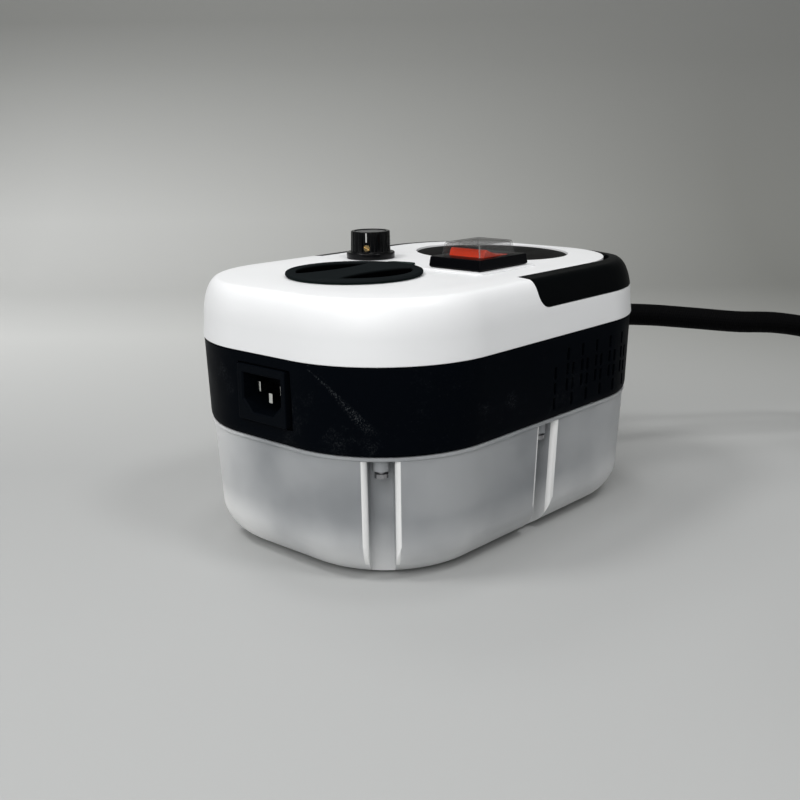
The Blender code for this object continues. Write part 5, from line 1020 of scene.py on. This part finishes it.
def top_cover():
    profile = cover_profile(0, COVER_LOW)
    edge = 0.0005
    foot = [(edge, 0), (edge * 0.3, edge * 0.3), (0, edge)]
    profile = [(inset - COVER_FLARE, COVER_LOW + rise) for inset, rise in foot] + profile[1:]
    cover = loft("cover_shell", body_rings(profile))
    hollow = loft("cover_hollow", body_rings(cover_profile(COVER_WALL, COVER_LOW - OVERRUN)))
    near = TONGUE_HALF_WIDTH - GAP / 3
    cut(hollow, groove_region("groove_wall", GAP + COVER_WALL, TONGUE_HALF_WIDTH - COVER_WALL,
                              TONGUE_END - COVER_WALL, TONGUE_CORNER - COVER_WALL),
        pivot_rods("pocket_wall", ARM_RADIUS + ARM_CORNER_REACH + GAP + COVER_WALL / 2, near - COVER_WALL,
                   HALF_WIDTH + OVERRUN),
        prism("recess_wall", at_height(ellipse(RECESS_HALF_LENGTH + COVER_WALL,
                                               RECESS_HALF_WIDTH + COVER_WALL),
                                       COVER_CEILING - RECESS_DEPTH), (0, 0, RECESS_DEPTH + OVERRUN)))
    cut(cover, hollow)
    boss_far = TONGUE_HALF_WIDTH - COVER_WALL / 2
    pad_top = COVER_TOP + PAD_HEIGHT
    pad = []
    for inset, height in ((0, COVER_CEILING + COVER_WALL / 2), (0, pad_top - PAD_EDGE_DROP),
                          (PAD_EDGE_WIDTH * 0.3, pad_top - PAD_EDGE_DROP * 0.3), (PAD_EDGE_WIDTH, pad_top)):
        outline = rounded_outline(PAD_LENGTH / 2 - inset, PAD_WIDTH / 2 - inset, PAD_CORNER, steps=6)
        pad.append((outline, height))
    join(cover, pivot_rods("pin_bosses", PIN_BOSS_RADIUS, boss_far - PIN_BOSS_LENGTH, boss_far),
         stacked("switch_pad", pad, (SWITCH_X, SWITCH_Y)))
    cut(cover, groove_region("groove", GAP, TONGUE_HALF_WIDTH, TONGUE_END, TONGUE_CORNER),
        pivot_rods("arm_pockets", ARM_RADIUS + ARM_CORNER_REACH + GAP, near,
                   TONGUE_HALF_WIDTH + ARM_POCKET_WIDTH),
        pivot_rods("pin_holes", PIN_HOLE_RADIUS, boss_far - PIN_HOLE_DEPTH, TONGUE_HALF_WIDTH + OVERRUN))
    lip = 0.0005
    recess = [(ellipse(RECESS_HALF_LENGTH + grow, RECESS_HALF_WIDTH + grow), COVER_TOP + rise)
              for grow, rise in mouth_rings(RECESS_DEPTH, lip)]
    length = 2 * (ROCKER_RADIUS + GAP + SWITCH_BODY_MARGIN) + 2 * GAP
    width = ROCKER_WIDTH + 2 * (GAP + SWITCH_BODY_MARGIN) + 2 * GAP
    hole = rounded_outline(length / 2, width / 2, PAD_CORNER, steps=6)
    low = COVER_CEILING - OVERRUN
    cut(cover, stacked("recess", recess),
        rods("cap_hole", [((CAP_X, 0, low), (CAP_X, 0, COVER_TOP + OVERRUN))], CAP_CUP_RADIUS + 2 * GAP,
             WIDE_STEPS),
        rods("knob_hole", [((KNOB_X, KNOB_Y, low), (KNOB_X, KNOB_Y, COVER_TOP + OVERRUN))],
             POT_BUSHING_RADIUS + GAP),
        stacked("switch_hole", [(hole, low), (hole, COVER_TOP + 2 * OVERRUN)], (SWITCH_X, SWITCH_Y)))
    dress(cover, "housing", "white_plastic", ["top_cover"])


def top_plate():
    low = COVER_TOP - RECESS_DEPTH + GAP
    top = low + PLATE_THICKNESS
    edge = 0.0002
    plate = stacked("recess_plate", [
        (ellipse(RECESS_HALF_LENGTH - inset, RECESS_HALF_WIDTH - inset), height)
        for inset, height in ((GAP, low), (GAP, top - edge), (GAP + edge, top))])
    grainy = plastic("plate_grain", (0.004, 0.004, 0.004), 0.5, grain=0.00010, grain_scale=1300,
                     mottle=0.35, dust=0.04, edge=0, specular=0.02)
    dress(plate, "housing", "grey_plastic", ["top_plate"], material=grainy.material)


def carry_handle():
    handle = loft("bail_handle", body_rings(cover_profile(0, COVER_LOW)))
    combine(handle, [groove_region("handle_region", 0, ARM_INNER_Y, HANDLE_INNER_END, HANDLE_INNER_CORNER)],
            "INTERSECT")
    reach = ARM_RADIUS + ARM_CORNER_REACH
    flare = math.degrees(math.acos(ARM_RADIUS / reach))
    top = COVER_TOP + OVERRUN
    far = PIVOT_X - reach - OVERRUN
    across = (0, BODY_WIDTH + 2 * OVERRUN, 0)
    corner = arc(PIVOT_X, PIVOT_Z, reach, 90, 180 - flare, FILLET_STEPS)
    corner += [(far, corner[-1][1]), (far, top), (PIVOT_X, top)]
    tools = [prism("arm_corner", in_side_view(corner, -HALF_WIDTH - OVERRUN), across)]
    outer_y = TONGUE_HALF_WIDTH + ARM_POCKET_WIDTH - GAP
    rim = arc(PIVOT_X, PIVOT_Z, ARM_RADIUS, 90, 180, FILLET_STEPS)
    rim += [(far, PIVOT_Z), (far, top), (PIVOT_X, top)]
    for side in (-1, 1):
        tools.append(prism("arm_outer_corner", in_side_view(rim, side * outer_y),
                           (0, side * (HALF_WIDTH + OVERRUN - outer_y), 0)))
    slope = [(CROSSBAR_SLOPE_START, top), (CROSSBAR_SLOPE_START, COVER_TOP)]
    for share in (0.25, 0.5, 0.75, 1.0):
        slope.append((CROSSBAR_SLOPE_START + (HANDLE_INNER_END - CROSSBAR_SLOPE_START) * share,
                      COVER_TOP - CROSSBAR_DROP * (1 - math.cos(math.pi / 2 * share))))
    slope += [(HALF_LENGTH + OVERRUN, COVER_TOP - CROSSBAR_DROP), (HALF_LENGTH + OVERRUN, top)]
    tools.append(prism("crossbar_slope", in_side_view(slope, -HALF_WIDTH - OVERRUN), across))
    tools.append(pivot_rods("arm_pin_holes", PIN_HOLE_RADIUS, ARM_INNER_Y - OVERRUN,
                            ARM_INNER_Y + PIN_ARM_DEPTH))
    cut(handle, *tools)
    material = plastic("handle_black", (0.0010, 0.0014, 0.0017), 0.40, grain=0.000018, grain_scale=1500,
                       mottle=0.10, dust=0.01, edge=0.0006, specular=0.02).material
    dress(handle, "handle", "black_plastic", ["carry_handle"], material=material)


# Filler cap and seal

def filler_cap():
    cup = CAP_RECESS_DEPTH + CAP_FLOOR
    flange = CAP_TOP - (COVER_TOP + SEAL_THICKNESS + 2 * SEAL_CLEARANCE)
    plug = cup + CAP_PLUG_LENGTH
    inner = CAP_PLUG_RADIUS - CAP_PLUG_WALL
    profile = [(0, 0)] + rounded_rim(CAP_RADIUS, 0, CAP_EDGE, 5) + [
        (CAP_RADIUS, -flange), (CAP_CUP_RADIUS, -flange), (CAP_CUP_RADIUS, -cup), (CAP_PLUG_RADIUS, -cup),
        (CAP_PLUG_RADIUS, -plug), (inner, -plug), (inner, -cup), (0, -cup)]
    cap = turned("plug_cap", profile, (CAP_X, 0, CAP_TOP))
    corner = 0.0012
    lip = 0.0006
    wells = []
    for side in (-1, 1):
        rings = []
        for grow, rise in mouth_rings(CAP_RECESS_DEPTH, lip):
            radius = CAP_RECESS_RADIUS + grow
            low = CAP_BAR_HALF_WIDTH - grow
            first = math.degrees(math.asin((low + corner) / radius))
            bow = arc(0, 0, radius, first, 180 - first, 48)
            edge_x = math.sqrt((radius - corner) ** 2 - (low + corner) ** 2)
            waist = [(edge_x * share, low - CAP_BAR_WAIST * (1 - share ** 2)) for share in CAP_WAIST_SHARES]
            rings.append([(CAP_X + x, side * y, CAP_TOP + rise) for x, y in waist + bow])
        wells.append(loft("cap_well", rings))
    cut(cap, *wells)
    nodes = plastic("cap_grey", (0.0095, 0.0115, 0.0122), 0.60, grain=0.00003, grain_scale=2200,
                    mottle=0.15, dust=0.03, dust_colour=(0.16, 0.16, 0.16), edge=0.0004, specular=0.0)
    x, y, height = nodes.axes()
    off = nodes.math("SUBTRACT", x, CAP_X)
    spread = nodes.math("ADD", nodes.times(off, off), nodes.times(y, y))
    # Painted shade: inside their rims, the wells go near black below the cap's top
    inside = nodes.band(spread, (CAP_RECESS_RADIUS + lip * 1.4) ** 2, (CAP_RECESS_RADIUS + lip) ** 2)
    painted_shade_depth = nodes.band(height, CAP_TOP - lip * 0.6, CAP_TOP - lip * 2)
    nodes.shade({"Base Color": nodes.mix(nodes.times(inside, painted_shade_depth), nodes.base(), (0.0008, 0.0009, 0.0010))})
    dress(cap, "cap", "grey_plastic", ["filler_cap"], material=nodes.material)


def cap_seal():
    inner = CAP_CUP_RADIUS + SEAL_CLEARANCE
    edge = 0.00015
    profile = [(inner, SEAL_THICKNESS), (SEAL_RADIUS - edge, SEAL_THICKNESS),
               (SEAL_RADIUS, SEAL_THICKNESS - edge), (SEAL_RADIUS, 0), (inner, 0)]
    low = COVER_TOP + SEAL_CLEARANCE
    seal = turned("seal_ring", profile, (CAP_X, 0, low))
    half = SEAL_TAB_WIDTH / 2
    bend = half / 2
    near = (inner + SEAL_RADIUS) / 2
    tab = [(near, -half), (SEAL_TAB_RADIUS - bend, -half)]
    tab += arc(SEAL_TAB_RADIUS - bend, -half + bend, bend, -90, 0, 8)[1:]
    tab += arc(SEAL_TAB_RADIUS - bend, half - bend, bend, 0, 90, 8)
    tab += [(near, half)]
    turn = Matrix.Rotation(math.radians(SEAL_TAB_ANGLE), 2)
    flat = [turn @ Vector(point) for point in tab]
    join(seal, prism("seal_tab", [(CAP_X + point.x, point.y, low) for point in flat],
                     (0, 0, SEAL_THICKNESS)))
    dress(seal, "cap_carrier", "rubber", ["cap_seal"])


# Steam knob

def steam_knob():
    top = KNOB_TOP - KNOB_LOW
    shoulder = KNOB_RADIUS - KNOB_TAPER
    seat = KNOB_DISC_RADIUS + GAP / 2
    floor = top - KNOB_DISC_SINK - KNOB_DISC_THICKNESS - GAP / 2
    well = POT_NUT_RADIUS + 2 * GAP
    roof = POT_NUT_HEIGHT + 2 * GAP
    edge = 0.0005
    crown = [(seat, top - edge * 0.5), (seat + edge * 0.4, top)] + rounded_rim(shoulder, top, edge, 3)
    foot = [(KNOB_RADIUS, KNOB_SKIRT_HEIGHT + edge), (KNOB_RADIUS + edge, KNOB_SKIRT_HEIGHT)]
    skirt = rounded_rim(KNOB_SKIRT_RADIUS, KNOB_SKIRT_HEIGHT, edge, 3)
    shaft = KNOB_SHAFT_HOLE_RADIUS
    profile = [(0, floor), (seat, floor)] + crown + foot + skirt
    profile += [(KNOB_SKIRT_RADIUS, 0), (well, 0), (well, roof), (shaft, roof),
                (shaft, top - KNOB_SHAFT_ROOF), (0, top - KNOB_SHAFT_ROOF)]
    knob = turned("control_knob", profile, (KNOB_X, KNOB_Y, KNOB_LOW))
    centre = KNOB_RADIUS + KNOB_FLUTE_OFFSET
    low = KNOB_LOW + KNOB_SKIRT_HEIGHT + GAP
    flutes = []
    for number in range(KNOB_FLUTES):
        angle = math.radians(KNOB_POINTER_ANGLE) + 2 * math.pi * (number + 0.5) / KNOB_FLUTES
        x = KNOB_X + centre * math.cos(angle)
        y = KNOB_Y + centre * math.sin(angle)
        flutes.append(((x, y, low), (x, y, KNOB_TOP + OVERRUN)))
    angle = math.radians(KNOB_POINTER_ANGLE)
    outward = Vector((math.cos(angle), math.sin(angle), 0))
    base = Vector((KNOB_X, KNOB_Y, KNOB_LOW + KNOB_SETSCREW_RISE))
    cut(knob, rods("knob_flutes", flutes, KNOB_FLUTE_RADIUS, 24),
        rods("setscrew_hole", [(base, base + outward * (KNOB_RADIUS + OVERRUN))],
             KNOB_SETSCREW_RADIUS + GAP / 2, 24))
    dress(knob, "knob", "gloss_black_plastic", ["steam_knob"])
    side = Vector((-outward.y, outward.x, 0))
    half = POINTER_HALF_WIDTH
    rings = []
    for reach in (KNOB_RADIUS - POINTER_DEPTH, KNOB_RADIUS + POINTER_PROUD):
        ring = []
        for across, height in ((-half, POINTER_LOW), (half, POINTER_LOW), (half, POINTER_HIGH),
                               (-half, POINTER_HIGH)):
            draft = KNOB_TAPER * (height - KNOB_SKIRT_HEIGHT) / (KNOB_RISE - KNOB_SKIRT_HEIGHT)
            point = Vector((KNOB_X, KNOB_Y, KNOB_LOW + height)) + outward * (reach - draft) + side * across
            ring.append(tuple(point))
        rings.append(ring)
    paint = plastic("pointer_paint", (0.50, 0.50, 0.49), 0.5, mottle=0.05, edge=0)
    dress(loft("knob_pointer", rings), "knob", "gloss_black_plastic", material=paint.material)
    thick = KNOB_DISC_THICKNESS
    edge = 0.0002
    groove = 0.0001
    disc = [(0, thick), (KNOB_DISC_RADIUS * 0.72, thick), (KNOB_DISC_RADIUS * 0.76, thick - groove),
            (KNOB_DISC_RADIUS * 0.80, thick), (KNOB_DISC_RADIUS - edge, thick),
            (KNOB_DISC_RADIUS, thick - edge), (KNOB_DISC_RADIUS, 0), (0, 0)]
    dress(turned("knob_inlay", disc, (KNOB_X, KNOB_Y, KNOB_TOP - KNOB_DISC_SINK - thick)), "knob",
          "inlay_metal", ["knob_disc"])


# Switch

def switch_stack(name, length, width, corner, rings):
    """A loft about the switch's middle of (inset, height) pairs."""
    return stacked(name, [(rounded_outline(length / 2 - inset, width / 2 - inset, corner, steps=8), height)
                          for inset, height in rings], (SWITCH_X, SWITCH_Y))


def trunnions(name, reach, radius, segments):
    ends = [(SWITCH_X, SWITCH_Y + side * reach, ROCKER_PIVOT_Z) for side in (-1, 1)]
    return rods(name, [ends], radius, segments)


def switch_housing():
    edge = 0.0005
    taper = BEZEL_TAPER
    housing = switch_stack("switch_bezel", BEZEL_LENGTH, BEZEL_WIDTH, BEZEL_CORNER,
                           [(edge, BEZEL_LOW), (0, BEZEL_LOW + edge), (taper, BEZEL_TOP - edge),
                            (taper + edge * 0.3, BEZEL_TOP - edge * 0.3), (taper + edge, BEZEL_TOP)])
    length = 2 * (ROCKER_RADIUS + GAP + SWITCH_BODY_MARGIN)
    width = ROCKER_WIDTH + 2 * (GAP + SWITCH_BODY_MARGIN)
    join(housing, switch_stack("switch_body", length, width, BEZEL_CORNER,
                               [(0, BEZEL_LOW - SWITCH_BODY_DEPTH), (0, BEZEL_LOW + SWITCH_BODY_OVERLAP)]))
    half_x = ROCKER_RADIUS + GAP
    half_y = ROCKER_WIDTH / 2 + GAP
    low = ROCKER_PIVOT_Z - ROCKER_WELL_DEPTH
    cut(housing, block("rocker_well", (SWITCH_X - half_x, SWITCH_Y - half_y, low),
                       (SWITCH_X + half_x, SWITCH_Y + half_y, BEZEL_TOP + OVERRUN)),
        trunnions("trunnion_holes", half_y + TRUNNION_REACH, TRUNNION_HOLE_RADIUS, 48))
    material = plastic("bezel_black", (0.0010, 0.0012, 0.0018), 0.30, grain=0.000004, mottle=0.05,
                       edge=0.0003, specular=0.04).material
    dress(housing, "housing", "gloss_black_plastic", ["switch_housing"], material=material)


def rocker_button():
    face = ROCKER_FACE_ANGLE
    flank = ROCKER_FLANK_ANGLE
    turn = Matrix.Rotation(math.radians(-ROCKER_THROW / 2), 2)
    height = ROCKER_RADIUS * math.sin(math.radians(face)) - ROCKER_FACE_DROP
    half = ROCKER_RADIUS * math.cos(math.radians(face)) * ROCKER_FACE_SHARE
    left = arc(0, 0, ROCKER_RADIUS, 180 + flank, 180 - face + 3, 20)
    right = arc(0, 0, ROCKER_RADIUS, face - 3, -flank, 20)
    dish = []
    for step in range(21):
        x = -1 + step / 10
        dish.append((half * x, height - ROCKER_DISH * (1 - abs(x) ** 1.6)))
    outline = left + dish + right
    edge = 0.0004
    far = ROCKER_WIDTH / 2
    end = [(far, edge), (far - edge * 0.3, edge * 0.3), (far - edge, 0)]
    rings = []
    for y, inset in [(-y, inset) for y, inset in end] + end[::-1]:
        flat = [turn @ (Vector(point) * (1 - inset / ROCKER_RADIUS)) for point in outline]
        rings.append([(SWITCH_X + point.x, SWITCH_Y + y, ROCKER_PIVOT_Z + point.y) for point in flat])
    rocker = loft("rocker", rings)
    join(rocker, trunnions("trunnions", ROCKER_WIDTH / 2 + TRUNNION_REACH, TRUNNION_RADIUS, 24))
    dress(rocker, "rocker", "red_plastic", ["rocker_button"], angle=40)


def switch_cover():
    low = BEZEL_TOP + GAP
    top = low + GUARD_HEIGHT
    wall = GUARD_WALL
    taper = GUARD_TAPER
    edge = 0.0006
    roof = [(taper * 0.9, -edge), (taper + edge * 0.3, -edge * 0.3), (taper + edge, 0)]
    inside = [(wall + inset, top - wall + drop) for inset, drop in reversed(roof)]
    outside = [(inset, top + drop) for inset, drop in roof]
    guard = switch_stack("clear_guard", GUARD_LENGTH, GUARD_WIDTH, GUARD_CORNER,
                         inside + [(wall, low), (0, low)] + outside)
    dress(guard, "housing", "smoky_clear_plastic", ["switch_cover"])


# Hose and gland

def hose_gland():
    flange = GLAND_FLANGE_THICKNESS
    length = flange + GLAND_SLEEVE_LENGTH
    seat = length - GLAND_SEAT_DEPTH
    bore = HOSE_RADIUS + GAP / 2
    steam_bore = PIPE_RADIUS + GAP
    tip = HOSE_RADIUS + GAP + GLAND_SLEEVE_TIP_WALL
    root = HOSE_RADIUS + GAP + GLAND_SLEEVE_WALL
    edge = 0.0005
    profile = [(bore, length), (tip - edge, length), (tip - edge * 0.3, length - edge * 0.3),
               (tip, length - edge), (root, flange + edge), (root + edge, flange),
               (GLAND_FLANGE_RADIUS - edge, flange),
               (GLAND_FLANGE_RADIUS - edge * 0.3, flange - edge * 0.3), (GLAND_FLANGE_RADIUS, flange - edge),
               (GLAND_FLANGE_RADIUS, 0), (GLAND_STUB_RADIUS, 0), (GLAND_STUB_RADIUS, -GLAND_STUB_LENGTH),
               (steam_bore, -GLAND_STUB_LENGTH), (steam_bore, seat), (bore, seat)]
    gland = turned("gland", profile, (HALF_LENGTH + GAP, 0, OUTLET_Z), direction=(1, 0, 0), steps=64)
    dress(gland, "housing", "black_plastic", ["hose_gland"])


def smooth_route(points):
    """Points about HOSE_STEP apart on one smooth curve through the given points."""
    route = [Vector(point) for point in points]
    ends = [2 * route[0] - route[1], *route, 2 * route[-1] - route[-2]]
    made = []
    for index in range(1, len(ends) - 2):
        before, start, end, after = ends[index - 1:index + 3]
        last = (start - before).length
        span = (end - start).length
        following = (after - end).length
        leave = (start - before) * span / last - (end - before) * span / (last + span) + end - start
        arrive = end - start - (after - start) * span / (span + following) + (after - end) * span / following
        pieces = max(1, round(span / HOSE_STEP))
        for piece in range(pieces):
            share = piece / pieces
            back = 1 - share
            made.append(start * (1 + 2 * share) * back ** 2 + leave * share * back ** 2
                        + end * share ** 2 * (3 - 2 * share) - arrive * share ** 2 * back)
    made.append(route[-1])
    return made


def coil_point(angle):
    total = COIL_START_ANGLE - COIL_END_ANGLE
    gone = COIL_START_ANGLE - angle
    inward = min(gone, total - gone) / 360
    radius = COIL_RADIUS - COIL_PITCH * inward
    fall = min(1, max(0, (gone - total / 2) / 180 + 0.5))
    drop = (1 - math.cos(math.pi * fall)) / 2
    height = HOSE_RADIUS + COIL_LAYER_PITCH * (1 - drop)
    turn = math.radians(angle)
    return Vector((COIL_X + radius * math.cos(turn), COIL_Y + radius * math.sin(turn), height))


def coil_heading(angle):
    turn = math.radians(angle)
    return Vector((math.sin(turn), -math.cos(turn), 0))


def hose_path():
    """The hose's whole centre line, from inside the gland to inside the gun's sleeve."""
    straight = 2 * HOSE_RADIUS
    turns = COIL_START_ANGLE - COIL_END_ANGLE
    steps = round(turns / 360 * 160)
    coil = [coil_point(COIL_START_ANGLE - turns * number / steps) for number in range(steps + 1)]
    heading_in = coil_heading(COIL_START_ANGLE)
    heading_out = coil_heading(COIL_END_ANGLE)
    start_x = HALF_LENGTH + GAP + GLAND_FLANGE_THICKNESS + GLAND_SLEEVE_LENGTH - GLAND_SEAT_DEPTH + GAP
    exit_point = Vector((start_x, 0, OUTLET_Z))
    coil_start = coil[0] - heading_in * straight
    run = [exit_point, exit_point + Vector((straight, 0, 0)), *HOSE_ROUTE,
           coil_start - heading_in * straight, coil_start, coil[0]]
    coil_end = coil[-1] + heading_out * straight
    sleeve_end = Vector((GUN_REAR_X - SLEEVE_GRIP + GAP, GUN_Y, GUN_Z))
    mouth = sleeve_end + Vector((SLEEVE_LENGTH, 0, 0))
    tail = [coil[-1], coil_end, coil_end + heading_out * straight, mouth + Vector((straight, 0, 0)), mouth,
            sleeve_end]
    return smooth_route(run)[:-1] + coil + smooth_route(tail)[1:]


def steam_hose():
    path = hose_path()
    segments = 32
    drawing = bmesh.new()
    layer = drawing.loops.layers.uv.new("along")
    normal = Vector((0, 0, 1))
    rows = []
    gone = 0.0
    distances = []
    for index, point in enumerate(path):
        before = path[max(0, index - 1)]
        after = path[min(len(path) - 1, index + 1)]
        along = (after - before).normalized()
        normal = (normal - along * normal.dot(along)).normalized()
        side = along.cross(normal)
        if index:
            gone += (point - path[index - 1]).length
        distances.append(gone)
        row = []
        for step in range(segments):
            angle = 2 * math.pi * step / segments
            offset = normal * math.cos(angle) + side * math.sin(angle)
            row.append(drawing.verts.new(point + offset * HOSE_RADIUS))
        rows.append(row)
    around = 2 * math.pi * HOSE_RADIUS / segments
    for index in range(len(rows) - 1):
        for step in range(segments):
            after = (step + 1) % segments
            face = drawing.faces.new((rows[index][step], rows[index][after],
                                      rows[index + 1][after], rows[index + 1][step]))
            corners = ((step, index), (step + 1, index), (step + 1, index + 1), (step, index + 1))
            for loop, (turn_step, row) in zip(face.loops, corners):
                loop[layer].uv = (turn_step * around, distances[row])
    drawing.faces.new(rows[0])
    drawing.faces.new(rows[-1])
    hose = new_object("braided_hose", drawing)
    dress(hose, "housing", "hose_braid", ["steam_hose_run", "steam_hose_coil", "steam_hose_tail"])


# Floor and backdrop

def make_stage():
    """A pale floor that turns up into a darker backdrop behind the object, seen from the front only. Light
    is painted on the backdrop: lighter near the horizon on the left, darker to the right and higher up.
    """
    away = in_view_axes(0, 1, 0)
    side = in_view_axes(-1, 0, 0)
    start = Vector((CAMERA_PLACE[0], CAMERA_PLACE[1], 0))
    rows = [(-STAGE_NEAR, 0.0), (0.0, 0.0), (STAGE_TURN, 0.0)]
    rows += [(STAGE_TURN + STAGE_BEND * x, STAGE_BEND * (1 + z)) for x, z in arc(0, 0, 1, -80, -10, 7)]
    rows += [(STAGE_TURN + STAGE_BEND * 1.2, STAGE_TOP)]
    drawing = bmesh.new()
    lines = []
    for far, height in rows:
        ends = (-STAGE_HALF_WIDTH, STAGE_HALF_WIDTH)
        line = [start + away * far + side * across + Vector((0, 0, height)) for across in ends]
        lines.append([drawing.verts.new(point) for point in line])
    for low, high in zip(lines, lines[1:]):
        drawing.faces.new((low[0], low[1], high[1], high[0]))
    data = bpy.data.meshes.new("sweep")
    drawing.to_mesh(data)
    drawing.free()
    sweep = bpy.data.objects.new("sweep", data)
    bpy.context.scene.collection.objects.link(sweep)
    data.shade_smooth()
    nodes = Nodes("sweep_paper")
    ahead = nodes.math("SUBTRACT", nodes.along(away), start.dot(away))
    across = nodes.math("SUBTRACT", nodes.along(side), start.dot(side))
    _, _, height = nodes.axes()
    # Painted light on the backdrop: lighter near the horizon and to the left, darker to the right, farther
    # back and higher up
    far = nodes.band(ahead, *BACKDROP_FADE)
    rightward = nodes.band(across, *BACKDROP_FADE_ACROSS)
    painted_lit_left_tone = nodes.mix(far, (0.76, 0.765, 0.75), (0.60, 0.604, 0.588))
    painted_shade_right_tone = nodes.mix(far, (0.30, 0.303, 0.285), (0.265, 0.267, 0.250))
    behind = nodes.mix(rightward, painted_lit_left_tone, painted_shade_right_tone)
    behind = nodes.mix(nodes.band(height, *BACKDROP_FADE_HEIGHT), behind, (0.235, 0.237, 0.226))
    tone = nodes.mix(nodes.band(ahead, *FLOOR_FADE), (0.42, 0.425, 0.42), behind)
    nodes.shade({"Base Color": tone, "Roughness": 0.7,
                 "Normal": nodes.bump(nodes.noise(1500, 2), 0.00002)})
    clear = nodes.add("ShaderNodeBsdfTransparent")
    back = nodes.add("ShaderNodeNewGeometry").outputs["Backfacing"]
    mixed = nodes.add("ShaderNodeMixShader", {0: back, 1: nodes.shader.outputs[0], 2: clear.outputs[0]})
    nodes.fill(nodes.tree.nodes["Material Output"], {"Surface": mixed.outputs[0]})
    data.materials.append(nodes.material)


def dress_cad_nodes():
    """Give each CAD node that stays its own slot's material, and the mains blades a brighter plating."""
    plated = metal("plated", (0.80, 0.80, 0.76), 0.10)
    for name, node in frame["nodes"].items():
        for held in node.material_slots:
            held.material = plated if name.startswith("inlet_blade") else MATERIALS[SLOT_OF[name]]


bpy.context.scene.view_settings.view_transform = "Standard"
make_camera()
steam_hose()
make_lamps()
make_stage()
dress_cad_nodes()
water_tank()
middle_shell()
mains_inlet()
top_cover()
top_plate()
carry_handle()
filler_cap()
cap_seal()
steam_knob()
switch_housing()
rocker_button()
switch_cover()
hose_gland()
